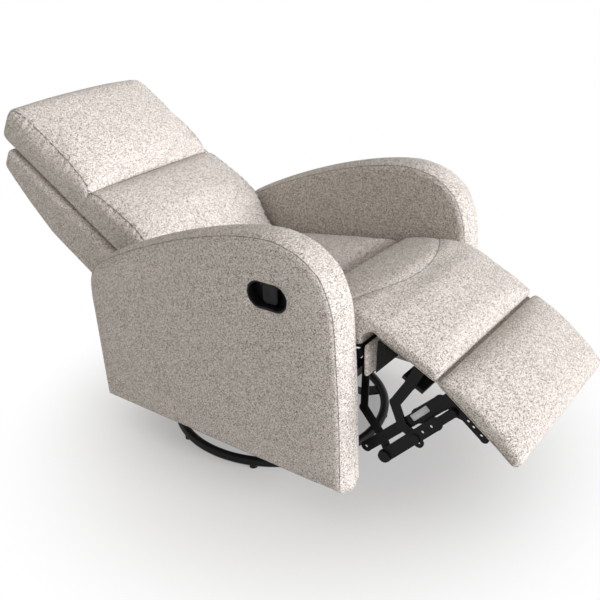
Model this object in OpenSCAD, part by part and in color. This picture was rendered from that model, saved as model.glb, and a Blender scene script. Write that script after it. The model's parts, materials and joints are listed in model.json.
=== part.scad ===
// Swivel glider recliner, drawn fully reclined with the footrest out.
// The chair faces -Y. The origin is on the floor, on the swivel axis.
// Side outlines are drawn as [forward, up] pairs, so forward = -Y.

/* [Arms] */
// Clear width between the two arms
seat_gap = 520; // [500:1:540]
// Width of one upholstered arm
arm_w = 90; // [80:1:105]
// Length of an arm from back to front
arm_len = 797; // [780:1:815]
// Height of an arm from its lower edge to its highest point
arm_rise = 596; // [582:1:610]
// Gap between the floor and the lower edge of the arms
floor_gap = 98; // [94:1:106]
// Radius of the soft edges of an arm
arm_edge = 18; // [12:1:22]

/* [Seat] */
// Thickness of the seat cushion at its edges
seat_t = 76; // [66:1:80]
// How far the middle of the seat stands above its edges
seat_crown = 22; // [10:1:26]
// Length of the separate front roll of the seat
roll_len = 186; // [160:1:210]
// Slope of the seat, down towards the back, in degrees
seat_slope = 9; // [8:0.5:10]
// How far the corners of the front roll fall back from its middle
roll_bow = 66; // [40:1:72]
// Radius of the soft edges of the seat cushions
seat_edge = 24; // [16:1:28]

/* [Back] */
// Slope of the reclined back above the horizontal, in degrees
back_slope = 31; // [29:0.5:33]
// Width of the back cushions
back_w = 494; // [480:1:500]
// Length of the lumbar cushion
lumbar_len = 342; // [325:1:348]
// Length of the headrest cushion
headrest_len = 348; // [320:1:360]
// How far the middle of a back cushion stands above its edges
back_crown = 33; // [16:1:36]
// Length of the back shell above the pivot
shell_len = 606; // [580:1:615]
// Thickness of the back shell at its lower half
shell_t = 126; // [110:1:130]
// Thickness of the back shell at its top
shell_top_t = 52; // [44:1:60]
// Diameter of the pivot studs of the back
back_stud_d = 12; // [10:1:14]

/* [Footrest] */
// Width of the two footrest pads
pad_w = 504; // [496:1:508]
// Distance between the leg hinge and the ottoman hinge
leg_len = 165.3; // [160:0.1:170]
// Length of the ottoman pad
ottoman_len = 236; // [215:1:245]
// Slope of the extended leg pad below the horizontal, in degrees
leg_slope = 25.4; // [25:0.1:26]
// Slope of the extended ottoman pad below the horizontal, in degrees
ottoman_slope = 37.4; // [37:0.1:38]
// Thickness of the footrest pads at their edges
pad_t = 22; // [20:1:26]
// How far the middle of a footrest pad stands above its edges
pad_crown = 17; // [10:1:20]
// Thickness of the boards under the footrest pads
board_t = 11; // [9:1:12]

/* [Linkage] */
// Thickness of the steel link plates
plate_t = 3.5; // [3:0.1:3.8]
// Gap between neighbouring link plates
layer_gap = 1; // [0.8:0.1:1.2]
// Diameter of the pivot pins of the links
pin_d = 8; // [7:0.1:8.5]
// Width of the lower link bar
bar_w = 33; // [31:1:35]
// Thickness of the side plates that carry the mechanism
side_plate_t = 3; // [2.5:0.1:3.2]
// Width of the cross board under the leg pad
cross_board_w = 58; // [50:1:62]

/* [Swivel base] */
// Radius of the base ring to the middle of its tube
ring_r = 298; // [285:1:305]
// Diameter of the base ring's tube
ring_tube_d = 25; // [22:1:27]
// Diameter of the swivel spindle
spindle_d = 24; // [20:1:28]
// Radius of the bearing's ball circle
ball_circle_r = 62; // [56:1:66]
// Diameter of a bearing ball
ball_d = 9.5; // [8:0.5:10]

/* [Glider] */
// Length of a swing link between its pivots
link_len = 100; // [92:1:104]
// Distance between the front and rear swing links
link_spread = 250; // [230:1:260]
// Distance from the middle of the chair to a hanger plate
hanger_x = 176; // [170:1:178]
// Side of the square cross tubes
tube_w = 25; // [22:1:28]

/* [Release handle] */
// Length of the oval bezel
bezel_len = 118; // [112:1:122]
// Height of the oval bezel
bezel_h = 73; // [70:1:76]
// Depth of the finger cup
cup_depth = 26; // [22:1:30]
// Width of the pull paddle
paddle_w = 42; // [38:1:46]

/* [Fits] */
// Clearance between a soft piece and its neighbour
soft_gap = 0.6; // [0.5:0.1:0.8]
// Radial clearance of a pin that turns in its bore
run_gap = 0.05; // [0.03:0.01:0.08]
// Clearance between rigid faces that slide past each other
face_gap = 0.4; // [0.3:0.1:0.6]

/* [Hidden] */
$fn = 48;

// Colours
fabric = [0.80, 0.77, 0.73];
fabric_dark = [0.70, 0.67, 0.63];
steel = [0.07, 0.07, 0.075];
bright = [0.45, 0.45, 0.47];
wood = [0.72, 0.56, 0.38];
plastic = [0.04, 0.04, 0.045];

// One overrun for every cut
cut = 1;

// The swivel axis stands at a share of the arms' length behind their front
axis_share = 0.54956;
arm_front = arm_len * axis_share;
arm_behind = arm_len - arm_front;

// Pivots of the footrest, as [forward, up]
leg_hinge_reach = 14;
leg_hinge_drop = 232;
arm_top = floor_gap + arm_rise;
leg_hinge = [arm_front + leg_hinge_reach, arm_top - leg_hinge_drop];
leg_dir = [cos(leg_slope), -sin(leg_slope)];
leg_up = [sin(leg_slope), cos(leg_slope)];
ottoman_hinge = leg_hinge + leg_len * leg_dir;
ottoman_dir = [cos(ottoman_slope), -sin(ottoman_slope)];
ottoman_up = [sin(ottoman_slope), cos(ottoman_slope)];
// The linkage keeps its shape when the leg changes: pivots are shares of its length
crank_stud_share = [-0.163, -0.194];
lower_pin_share = [0.2125, -1.7907];
cross_rivet_share = [0.109, -1.567];
cross_end_share = [-0.140, -1.815];
upper_pin_share = [0.4803, -1.1894];
bracket_upper_share = [1.1113, -0.5523];
bracket_lower_share = [1.2130, -0.7042];
slot_pin_share = [0.6794, -1.3176];
slot_run_share = [0.0369, -0.0617];
function link_point(share) = leg_hinge + leg_len * share;
crank_stud = link_point(crank_stud_share);
lower_pin = link_point(lower_pin_share);
cross_rivet = link_point(cross_rivet_share);
cross_end = link_point(cross_end_share);
upper_pin = link_point(upper_pin_share);
bracket_upper = link_point(bracket_upper_share);
bracket_lower = link_point(bracket_lower_share);
slot_pin = link_point(slot_pin_share);
slot_run = leg_len * slot_run_share;

// Layers of the linkage, measured from the middle of the chair to a plate's inner face
side_plate_x = seat_gap / 2 - side_plate_t - face_gap;
pad_overhang = 12;
lower_bar_x = pad_w / 2 - pad_overhang - plate_t;
layer = plate_t + layer_gap;
bracket_x = lower_bar_x - layer;
upper_bar_x = bracket_x - layer;
crank_cross_x = upper_bar_x - layer;
crank_arm_x = crank_cross_x - plate_t;
// Free play of the pins at the open pivots of the linkage
open_play = 5.2;
head_d = 25;
head_t = 2.5;
crank_stud_d = 14;

// Frames for pieces drawn along and square to a sloping line: [origin, along, up]
under_gap = 22;
leg_frame = [leg_hinge, leg_dir, leg_up];
ottoman_frame = [ottoman_hinge, ottoman_dir, ottoman_up];
seat_front_base_drop = 16;
seat_set_back = 2;
seat_origin = [arm_front - seat_set_back, leg_hinge.y - seat_front_base_drop];
seat_frame = [seat_origin, [-cos(seat_slope), -sin(seat_slope)], [-sin(seat_slope), cos(seat_slope)]];
back_pivot_inset = 124;
back_pivot_above = 307;
back_pivot = [back_pivot_inset - arm_behind, floor_gap + back_pivot_above];
// The seat ends far enough in front of the back pivot for the back to be raised
back_swing = 86;
seat_len = (seat_origin.x - back_pivot.x - back_swing) / cos(seat_slope);
back_frame = [back_pivot, [-cos(back_slope), sin(back_slope)], [sin(back_slope), cos(back_slope)]];
function on_frame(frame, s, n) = frame[0] + s * frame[1] + n * frame[2];
function world(x, frame, s, n) = let (p = on_frame(frame, s, n)) [x, -p.x, p.y];

// General shapes

// A side outline made t thick, from x0 towards the sitter's left
module side_sheet(x0, t) {
    translate([x0 + t, 0, 0]) rotate([90, 0, -90]) linear_extrude(t) children();
}

// A round rod across the chair at a side point
module cross_rod(p, x0, x1, d) {
    translate([x0, -p.x, p.y]) rotate([0, 90, 0]) cylinder(h = x1 - x0, d = d);
}

// A straight strap with round ends, a little wider than its middle
strap_waist = 0.95;
module strap(p, q, w) {
    run = q - p;
    translate(p) rotate(atan2(run.y, run.x)) translate([0, -strap_waist * w / 2])
        square([norm(run), strap_waist * w]);
    translate(p) circle(d = w);
    translate(q) circle(d = w);
}

module hole(p, d) {
    translate(p) circle(d = d);
}

// Drawn for the sitter's left side, and mirrored for the right
module on_side(left) {
    if (left) children();
    else mirror([1, 0, 0]) children();
}

// A box along a frame: from s0 to s1 along it, n0 to n1 above it, x0 to x1 across
module frame_box(frame, s0, s1, n0, n1, x0, x1) {
    side_sheet(x0, x1 - x0) polygon([
        on_frame(frame, s0, n0), on_frame(frame, s1, n0), on_frame(frame, s1, n1), on_frame(frame, s0, n1)
    ]);
}

// Soft forms: closed skins through rings of points

function mean(ring) = [
    for (i = [0:len(ring[0]) - 1])
        let (c = [for (p = ring) p[i]])
        (c * [for (v = c) 1]) / len(ring)
];

module soft_form(rings, flip = false) {
    count = len(rings[0]);
    last = len(rings) - 1;
    points = concat([for (ring = rings, p = ring) p], [mean(rings[0]), mean(rings[last])]);
    low_tip = count * (last + 1);
    sides = [for (k = [0:last - 1], i = [0:count - 1])
        let (a = k * count + i, b = k * count + (i + 1) % count)
        each [[a, b, b + count], [a, b + count, a + count]]];
    caps = [for (i = [0:count - 1])
        let (a = i, b = (i + 1) % count)
        each [[low_tip, b, a], [low_tip + 1, last * count + a, last * count + b]]];
    faces = concat(sides, caps);
    polyhedron(points, flip ? faces : [for (f = faces) [f[2], f[1], f[0]]]);
}

// Smooth curve through points, open at both ends
function curve_point(a, b, c, d, t) =
    ((2 * b) + (c - a) * t + (2 * a - 5 * b + 4 * c - d) * t * t + (3 * b - a - 3 * c + d) * t * t * t) / 2;
function curve(points, steps) = [
    for (i = [0:len(points) - 2], k = [0:steps - 1])
        curve_point(points[max(i - 1, 0)], points[i], points[i + 1],
            points[min(i + 2, len(points) - 1)], k / steps),
    points[len(points) - 1]
];

// Outline moved inwards by d
function unit(v) = v / norm(v);
function turned(v) = [-v.y, v.x];
function inset(path, d) = let (n = len(path)) [
    for (i = [0:n - 1])
        let (
            before = turned(unit(path[i] - path[(i + n - 1) % n])),
            after = turned(unit(path[(i + 1) % n] - path[i]))
        )
        path[i] + d * (before + after) / (1 + before * after)
];

// Rounded rectangle of half sizes hx and hs, with the same number of points at any size
corner_steps = 3;
cross_steps = 7;
long_steps = 8;
function rectangle_ring(hx, hs, r) = [
    for (i = [0:corner_steps])
        let (a = 90 * i / corner_steps) [hx - r + r * cos(a), hs - r + r * sin(a)],
    for (i = [1:cross_steps - 1]) [(hx - r) * (1 - 2 * i / cross_steps), hs],
    for (i = [0:corner_steps])
        let (a = 90 + 90 * i / corner_steps) [-hx + r + r * cos(a), hs - r + r * sin(a)],
    for (i = [1:long_steps - 1]) [-hx, (hs - r) * (1 - 2 * i / long_steps)],
    for (i = [0:corner_steps])
        let (a = 180 + 90 * i / corner_steps) [-hx + r + r * cos(a), -hs + r + r * sin(a)],
    for (i = [1:cross_steps - 1]) [(hx - r) * (2 * i / cross_steps - 1), -hs],
    for (i = [0:corner_steps])
        let (a = 270 + 90 * i / corner_steps) [hx - r + r * cos(a), -hs + r + r * sin(a)],
    for (i = [1:long_steps - 1]) [hx, (hs - r) * (2 * i / long_steps - 1)]
];

// Rings of a cushion with soft edges. under and over give the height of the faces at
// (s), crown lifts the middle, draw pulls the sides in between the corners, and warp moves
// a point (x, s) in plan.
crown_steps = [0.16, 0.4, 0.7];
function cushion_rings(frame, hx, s0, s1, edge, crown, draw, under, over, warp = function (x, s) [x, s]) =
    let (
        mid = (s0 + s1) / 2,
        hs = (s1 - s0) / 2,
        corner = edge * 1.2,
        // each row is [how far in, share of the crown's plan, lower or upper face, height above or below it]
        low_rows = [[1, 0.55, 0], [1, 0, 0], for (a = [60, 30, 0]) [1 - cos(a), 0, 1 - sin(a)]],
        high_rows = [for (a = [0, 30, 60, 90]) [1 - cos(a), 0, 1 - sin(a)], for (q = crown_steps) [1, q, 0]],
        ring = function (row, high)
            let (
                hx1 = (hx - edge * row[0]) * (1 - row[1]),
                hs1 = (hs - edge * row[0]) * (1 - row[1]),
                r = max(corner * (1 - row[1]) - edge * row[0] / 2, edge * 0.2)
            )
            [for (p = rectangle_ring(hx1, hs1, r))
                let (
                    px = p.x - sign(p.x) * draw * (1 - pow(p.y / hs1, 2)) * pow(abs(p.x) / hx1, 4),
                    s = mid + p.y,
                    q = warp(px, s),
                    swell = crown * (1 - pow(abs(px / hx), 3)) * (1 - pow(p.y / hs, 4)),
                    half = (over(q.y) - under(q.y)) / 2,
                    round_off = min(edge, half) * row[2],
                    n = high ? over(q.y) + swell * (1 - row[2]) - round_off : under(q.y) + round_off
                )
                world(q.x, frame, q.y, n)]
    )
    concat([for (row = low_rows) ring(row, false)], [for (row = high_rows) ring(row, true)]);

// Swivel base

ring_foot_h = 4;
ring_top = ring_foot_h + ring_tube_d;
foot_d = 22;
foot_count = 8;
hub_margin = 22;
hub_r = ball_circle_r + hub_margin;
hub_t = 6;
hub_lift = 13;
hub_z = ring_top + hub_lift;
cross_w = 42;
cross_t = 5;
step_in = 46;
race_w = 22;
race_wall = 2;
race_t = ball_d / 2 + race_wall;
groove_play = 0.1;
ball_gap = 1;
ball_z = hub_z + hub_t + race_t + ball_gap / 2;
ball_count = 24;
swivel_z = hub_z + hub_t + 2 * race_t + ball_gap;
swivel_t = 5;
swivel_r = 112;
rail_h = 20;
rail_w = 40;
rail_offset = 78;
rail_wall = 3;
spindle_head_d = 46;
spindle_head_t = 5;

module base_ring() {
    color(steel) translate([0, 0, ring_foot_h + ring_tube_d / 2])
        rotate_extrude($fn = 96) translate([ring_r, 0]) circle(d = ring_tube_d);
}

// Four stepped straps from the ring to the hub plate
module base_cross() {
    hub_edge = hub_r - cross_w / 2;
    ring_inside = ring_r - ring_tube_d / 2 - face_gap;
    strap_end = sqrt(pow(ring_inside, 2) - pow(cross_w / 2, 2));
    low = ring_foot_h + ring_tube_d / 2 - cross_t / 2;
    strap_z = hub_z + (hub_t - cross_t) / 2;
    color(steel) difference() {
        union() {
            translate([0, 0, hub_z]) cylinder(h = hub_t, r = hub_r);
            for (a = [0:3]) rotate(45 + 90 * a)
                rotate([90, 0, 0]) translate([0, 0, -cross_w / 2]) linear_extrude(cross_w) polygon([
                    [hub_edge, strap_z], [strap_end - 2 * step_in, strap_z], [strap_end - step_in, low],
                    [strap_end, low], [strap_end, low + cross_t], [strap_end - step_in, low + cross_t],
                    [strap_end - 2 * step_in, strap_z + cross_t], [hub_edge, strap_z + cross_t]
                ]);
        }
        translate([0, 0, hub_z - cut]) cylinder(h = hub_t + 2 * cut, d = spindle_d);
    }
}

module base_glides() {
    color(plastic) for (i = [0:foot_count - 1]) rotate(360 * i / foot_count + 180 / foot_count)
        translate([ring_r, 0, 0]) difference() {
            cylinder(h = ring_foot_h + ring_tube_d / 3, d = foot_d);
            translate([0, 0, ring_foot_h + ring_tube_d / 2]) rotate([90, 0, 0])
                cylinder(h = 2 * foot_d, d = ring_tube_d + 2 * face_gap, center = true);
        }
}

// A flat ring with a ball groove in the face that looks up
module race(z) {
    translate([0, 0, z]) rotate_extrude() difference() {
        translate([ball_circle_r - race_w / 2, 0]) square([race_w, race_t]);
        translate([ball_circle_r, race_t + ball_gap / 2]) circle(d = ball_d + 2 * groove_play);
    }
}

module lower_race() {
    color(bright) race(hub_z + hub_t);
}

module upper_race() {
    color(bright) translate([0, 0, swivel_z]) mirror([0, 0, 1]) race(0);
}

module bearing_balls() {
    color(bright) for (i = [0:ball_count - 1]) rotate(360 * i / ball_count)
        translate([ball_circle_r, 0, ball_z]) sphere(d = ball_d);
}

module spindle() {
    top = swivel_z + swivel_t + face_gap;
    color(bright) {
        translate([0, 0, hub_z]) cylinder(h = top - hub_z, d = spindle_d);
        translate([0, 0, top]) cylinder(h = spindle_head_t, d = spindle_head_d);
    }
}

module swivel_plate() {
    color(steel) difference() {
        translate([0, 0, swivel_z]) cylinder(h = swivel_t, r = swivel_r);
        translate([0, 0, swivel_z - cut]) cylinder(h = swivel_t + 2 * cut, d = spindle_d + 2 * run_gap);
    }
}

// Two channels across the swivel plate, open below, that carry the hangers
module swivel_cross_rails() {
    color(steel) for (side = [-1, 1]) translate([0, side * rail_offset, swivel_z + swivel_t])
        difference() {
            translate([-hanger_x, -rail_w / 2, 0]) cube([2 * hanger_x, rail_w, rail_h]);
            translate([-hanger_x - cut, -rail_w / 2 + rail_wall, -cut])
                cube([2 * (hanger_x + cut), rail_w - 2 * rail_wall, rail_h - rail_wall + cut]);
        }
}

// Glider

hanger_t = 4;
hanger_foot_h = 30;
link_t = 4;
link_w = 26;
link_pin_d = 12;
glide_rail_t = 4;
lower_pivot_lift = 30;
upper_pivot_z = swivel_z + swivel_t + link_len + lower_pivot_lift;
lower_pivot_z = upper_pivot_z - link_len;
link_x = hanger_x + hanger_t + layer_gap;
glide_rail_x = link_x + link_t + layer_gap;
glide_rail_reach = 62;
glide_rail_h = 34;

// Upright plate with two ears that the swing links hang from
module hanger(left) {
    half = link_spread / 2;
    foot_z = swivel_z + swivel_t;
    pin_end = link_x + link_t + face_gap;
    color(steel) on_side(left) {
        difference() {
            side_sheet(hanger_x, hanger_t) {
                polygon([
                    [-half, foot_z], [half, foot_z],
                    [half + link_w * 0.4, upper_pivot_z], [-half - link_w * 0.4, upper_pivot_z]
                ]);
                for (side = [-1, 1]) translate([side * half, upper_pivot_z]) circle(d = link_w);
            }
            for (side = [-1, 1])
                cross_rod([side * half * 0.42, upper_pivot_z - hanger_foot_h * 1.6],
                    hanger_x - cut, hanger_x + hanger_t + cut, hanger_foot_h * 2);
            for (side = [-1, 0, 1])
                cross_rod([side * half / 2, foot_z + hanger_foot_h / 2],
                    hanger_x - cut, hanger_x + hanger_t + cut, pin_d);
        }
        for (side = [-1, 1])
            cross_rod([side * half, upper_pivot_z], hanger_x + hanger_t / 2, pin_end, link_pin_d);
    }
}

// A swing link, bored at both ends
module swing_link(forward, left) {
    u = forward * link_spread / 2;
    bore = link_pin_d + 2 * run_gap;
    color(steel) on_side(left) side_sheet(link_x, link_t) difference() {
        strap([u, lower_pivot_z], [u, upper_pivot_z], link_w);
        hole([u, lower_pivot_z], bore);
        hole([u, upper_pivot_z], bore);
    }
}

// The rail that hangs on the lower pivots and carries the cross tubes
module glide_rail(left) {
    reach = link_spread / 2 + glide_rail_reach;
    pin_start = link_x - face_gap;
    color(steel) on_side(left) {
        difference() {
            side_sheet(glide_rail_x, glide_rail_t) {
                translate([-reach, lower_pivot_z - glide_rail_h / 2]) square([2 * reach, glide_rail_h]);
                for (side = [-1, 1]) translate([side * reach, lower_pivot_z]) circle(d = glide_rail_h);
            }
            for (side = [-1, 0, 1])
                cross_rod([side * reach / 4, lower_pivot_z],
                    glide_rail_x - cut, glide_rail_x + glide_rail_t + cut, pin_d);
        }
        for (side = [-1, 1])
            cross_rod([side * link_spread / 2, lower_pivot_z],
                pin_start, glide_rail_x + glide_rail_t / 2, link_pin_d);
    }
}

tube_offset = link_spread / 2 + glide_rail_reach;
tube_z = lower_pivot_z + glide_rail_h / 2;
tube_wall = 2;

// A square tube from one side plate to the other, standing on the glide rails
module cross_tube(u) {
    color(steel) difference() {
        translate([-side_plate_x, -u - tube_w / 2, tube_z]) cube([2 * side_plate_x, tube_w, tube_w]);
        translate([-side_plate_x - cut, -u - tube_w / 2 + tube_wall, tube_z + tube_wall])
            cube([2 * (side_plate_x + cut), tube_w - 2 * tube_wall, tube_w - 2 * tube_wall]);
    }
}

// Chair frame

stud_end_d = 22;
plate_foot_h = 44;
seat_under = 14;

// The pressed plate inside each arm. It carries the tubes, the crank stud and the back.
module side_plate(left) {
    front_under = on_frame(seat_frame, seat_len * 0.1, -seat_under);
    rear_under = on_frame(seat_frame, seat_len * 0.98, -seat_under);
    foot_front = [tube_offset + tube_w, tube_z];
    foot_rear = [-tube_offset - tube_w, tube_z];
    color(steel) on_side(left) {
        difference() {
            side_sheet(side_plate_x, side_plate_t) {
                strap(front_under - [0, stud_end_d], rear_under - [0, stud_end_d], 2 * stud_end_d);
                strap(rear_under - [0, stud_end_d], back_pivot, 2 * stud_end_d);
                strap(front_under - [0, stud_end_d], crank_stud, stud_end_d);
                polygon([
                    foot_rear, foot_front,
                    front_under - [plate_foot_h, stud_end_d], rear_under - [0, stud_end_d]
                ]);
            }
            for (share = [0.15, 0.35, 0.55, 0.75, 0.92])
                cross_rod(on_frame(seat_frame, seat_len * share, -seat_under - stud_end_d),
                    side_plate_x - cut, side_plate_x + side_plate_t + cut, pin_d);
            for (share = [-0.62, 0, 0.62])
                cross_rod([share * tube_offset, tube_z + 2.6 * plate_foot_h],
                    side_plate_x - cut, side_plate_x + side_plate_t + cut, 2 * plate_foot_h);
        }
        cross_rod(crank_stud, crank_arm_x, side_plate_x + side_plate_t / 2, crank_stud_d);
        cross_rod(back_pivot, back_bracket_x - face_gap, side_plate_x + side_plate_t / 2, back_stud_d);
    }
}

rail_t = 11;
rail_drop = 91;
rail_top_gap = 10;
hinge_reach = 5;
front_rail_front = leg_hinge.x - hinge_reach;

// Fabric covered board across the front, between the side plates
module front_rail() {
    half = side_plate_x - soft_gap;
    soft = rail_t * 0.4;
    color(fabric) translate([0, -front_rail_front, leg_hinge.y - rail_drop]) difference() {
        translate([-half, 0, 0]) cube([2 * half, rail_t, rail_drop - rail_top_gap]);
        for (left = [0, 1]) mirror([left, 0, 0])
            translate([half - soft, -cut, -cut]) cube([soft + cut, rail_t / 2, soft + cut]);
    }
}

rear_rail_h = 136;
rear_rail_inset = 28;

// Fabric covered board across the back, under the swinging shell
module rear_rail() {
    half = seat_gap / 2 - soft_gap;
    rear = arm_len - arm_front - rear_rail_inset;
    color(fabric_dark) translate([-half, rear - 2 * rail_t, floor_gap])
        cube([2 * half, 2 * rail_t, rear_rail_h]);
}

// Arms: a share table of the side outline, from the rear lower corner forward
arm_corner_shares = [[0.017, 0], [1, 0]];
arm_curve_shares = [
    [0.996, 0.35], [0.988, 0.58], [0.977, 0.765], [0.945, 0.882], [0.916, 0.926], [0.87, 0.968],
    [0.81, 0.993], [0.74, 1], [0.62, 0.978], [0.46, 0.921], [0.29, 0.838], [0.13, 0.742],
    [0.045, 0.674], [0.01, 0.61], [0, 0.53], [0.003, 0.42]
];
function arm_scaled(share) = [arm_front - arm_len * (1 - share.x), floor_gap + arm_rise * share.y];
arm_outline = [
    for (share = arm_corner_shares) arm_scaled(share),
    each curve([for (share = arm_curve_shares) arm_scaled(share)], 3)
];
arm_edge_steps = [0, 30, 60, 90];

module arm_form() {
    inner = seat_gap / 2;
    outer = inner + arm_w;
    rows = concat(
        [for (a = arm_edge_steps) [outer - arm_edge * (1 - cos(a)), arm_edge * (1 - sin(a))]],
        [for (a = arm_edge_steps) [inner + arm_edge * (1 - sin(a)), arm_edge * (1 - cos(a))]]
    );
    soft_form([for (row = rows) [for (p = inset(arm_outline, row[1])) [row[0], -p.x, p.y]]]);
}

module arm_left() {
    color(fabric) arm_form();
}

bezel_centre_back = 189;
bezel_centre_drop = 133;
bezel_centre = [arm_front - bezel_centre_back, arm_top - bezel_centre_drop];
bezel_lip = 6;
bezel_wall = 2.5;
bezel_proud = 4;
bezel_x = seat_gap / 2 + arm_w;

// An oval outline, level, of the given length and height
module oval(length, height) {
    reach = (length - height) / 2;
    strap(bezel_centre - [reach, 0], bezel_centre + [reach, 0], height);
}

module arm_right() {
    pocket = bezel_lip - bezel_wall;
    color(fabric) difference() {
        mirror([1, 0, 0]) arm_form();
        side_sheet(-bezel_x - cut, cup_depth + soft_gap + cut)
            oval(bezel_len - 2 * pocket, bezel_h - 2 * pocket);
    }
}

paddle_t = 9;
paddle_pin_d = 5;
paddle_depth_share = 0.42;
paddle_pivot = bezel_centre + [0, bezel_h / 2 - 2 * bezel_lip - paddle_pin_d / 2];
paddle_x = -bezel_x + cup_depth * paddle_depth_share;

// Oval cup with a lip that lies on the arm. Two cheeks hold the paddle's pin.
module release_bezel() {
    cup_len = bezel_len - 2 * bezel_lip;
    cup_h = bezel_h - 2 * bezel_lip;
    floor_x = -bezel_x + cup_depth;
    cheek_in = paddle_w / 2 + face_gap;
    color(plastic) {
        difference() {
            union() {
                side_sheet(-bezel_x - bezel_proud, bezel_proud - soft_gap / 2) oval(bezel_len, bezel_h);
                side_sheet(-bezel_x - bezel_proud, cup_depth + bezel_proud)
                    oval(cup_len + bezel_wall, cup_h + bezel_wall);
            }
            side_sheet(-bezel_x - bezel_proud - cut, cup_depth + bezel_proud + cut - bezel_wall)
                oval(cup_len - bezel_wall, cup_h - bezel_wall);
        }
        for (side = [-1, 1])
            side_sheet(paddle_x - paddle_t / 2, floor_x - bezel_wall / 2 - paddle_x + paddle_t / 2)
                translate(paddle_pivot + [side * (cheek_in + bezel_wall / 2) - bezel_wall / 2, -paddle_pin_d])
                    square([bezel_wall, 2 * paddle_pin_d]);
        translate([paddle_x, -paddle_pivot.x - cheek_in - bezel_wall / 2, paddle_pivot.y]) rotate([-90, 0, 0])
            cylinder(h = 2 * cheek_in + bezel_wall, d = paddle_pin_d);
    }
}

// The pull paddle swings on a pin across the top of the cup
module release_paddle() {
    drop = bezel_h - 4.4 * bezel_lip;
    color(plastic) difference() {
        union() {
            translate([paddle_x - paddle_t / 2, -paddle_pivot.x - paddle_w / 2, paddle_pivot.y - drop])
                cube([paddle_t, paddle_w, drop]);
            translate([paddle_x, -paddle_pivot.x - paddle_w / 2, paddle_pivot.y]) rotate([-90, 0, 0])
                cylinder(h = paddle_w, d = paddle_t);
        }
        translate([paddle_x, -paddle_pivot.x - paddle_w / 2 - cut, paddle_pivot.y]) rotate([-90, 0, 0])
            cylinder(h = paddle_w + 2 * cut, d = paddle_pin_d + 2 * run_gap);
    }
}

// Seat

seat_half = side_plate_x - soft_gap;
frame_rail_w = 34;
frame_rail_t = 22;
frame_rail_x = crank_arm_x - frame_rail_w - 4 * layer_gap;
frame_top = -soft_gap / 2;
spring_count = 5;
spring_wire = 4;
spring_bends = 8;
spring_swing = 24;

// Two wooden rails under the seat, inboard of the linkage
module seat_side_rails() {
    // the square end of a sloping rail starts behind the upright front rail
    start = 2 * soft_gap + frame_rail_t * sin(seat_slope);
    color(wood) for (side = [0, 1]) mirror([side, 0, 0])
        frame_box(seat_frame, start, seat_len - soft_gap, frame_top - frame_rail_t, frame_top,
            frame_rail_x, frame_rail_x + frame_rail_w);
}

front_member_start = 28;

module seat_front_member() {
    color(wood) frame_box(seat_frame, front_member_start, front_member_start + frame_rail_w,
        frame_top - frame_rail_t, frame_top, -frame_rail_x, frame_rail_x);
}

// The rear member runs out to both side plates and carries the frame
module seat_rear_member() {
    color(wood) {
        frame_box(seat_frame, seat_len - frame_rail_w, seat_len, frame_top - frame_rail_t, frame_top,
            -frame_rail_x, frame_rail_x);
        frame_box(seat_frame, seat_len - frame_rail_w, seat_len,
            frame_top - 2 * frame_rail_t, frame_top - frame_rail_t, -side_plate_x, side_plate_x);
    }
}

// Zigzag springs between the front and rear members
spring_ring_steps = 4;
module seat_springs() {
    front = front_member_start + frame_rail_w + soft_gap;
    rear = seat_len - frame_rail_w - soft_gap;
    pitch = (rear - front) / spring_bends;
    level = frame_top - frame_rail_t / 2;
    spacing = 2 * (frame_rail_x - 2 * frame_rail_w / 2) / spring_count;
    sides = 6;
    color(steel) for (k = [0:spring_count - 1]) {
        middle = (k - (spring_count - 1) / 2) * spacing;
        path = [
            for (i = [0:spring_bends * spring_ring_steps])
                let (t = i / spring_ring_steps)
                [middle + spring_swing * sin(180 * t), front + pitch * t]
        ];
        rings = [
            for (i = [0:len(path) - 1])
                let (
                    run = unit(path[min(i + 1, len(path) - 1)] - path[max(i - 1, 0)]),
                    along = i == 0 || i == len(path) - 1 ? [0, 1] : run,
                    across = [along.y, -along.x]
                )
                [for (j = [0:sides - 1])
                    let (a = 360 * j / sides, q = path[i] + across * cos(a) * spring_wire / 2)
                    world(q.x, seat_frame, q.y, level + sin(a) * spring_wire / 2)]
        ];
        soft_form(rings, true);
    }
}

crease_gap = 0.6;
side_draw = 3;
roll_draw = 1;
roll_nose = 7;

module seat_cushion() {
    color(fabric) soft_form(cushion_rings(seat_frame, seat_half, roll_len + crease_gap / 2, seat_len,
        seat_edge, seat_crown, side_draw, function (s) 0, function (s) seat_t));
}

// The front roll is bowed forward in the middle, like a half moon
module seat_front_roll() {
    color(fabric) soft_form(cushion_rings(seat_frame, seat_half, roll_nose, roll_len - crease_gap / 2,
        seat_edge, seat_crown, roll_draw, function (s) 0, function (s) seat_t,
        function (x, s) [x, s + roll_bow * pow(x / seat_half, 2) * (1 - (s - roll_nose) / (roll_len - roll_nose))]));
}

// Padding in front of the roll that fills its corners
module front_apron() {
    depth = roll_nose - soft_gap;
    steps = 8;
    height = seat_t - seat_edge * 0.3;
    bow = [for (i = [-steps:steps]) let (q = i / steps) [q * seat_half, depth + roll_bow * q * q]];
    color(fabric) translate([0, -seat_origin.x, seat_origin.y]) rotate([-seat_slope, 0, 0])
        linear_extrude(height) polygon(concat([[seat_half, 0], [-seat_half, 0]], bow));
}

// Back

shell_inset = 1;
shell_half = back_w / 2 - shell_inset;
back_bracket_t = 3.5;
back_bracket_x = side_plate_x - back_bracket_t - face_gap;
lumbar_start = -43;
lumbar_edge = 20;
headrest_edge = 24;
shell_face = 3;
cushion_base = shell_face + soft_gap / 2;

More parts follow.
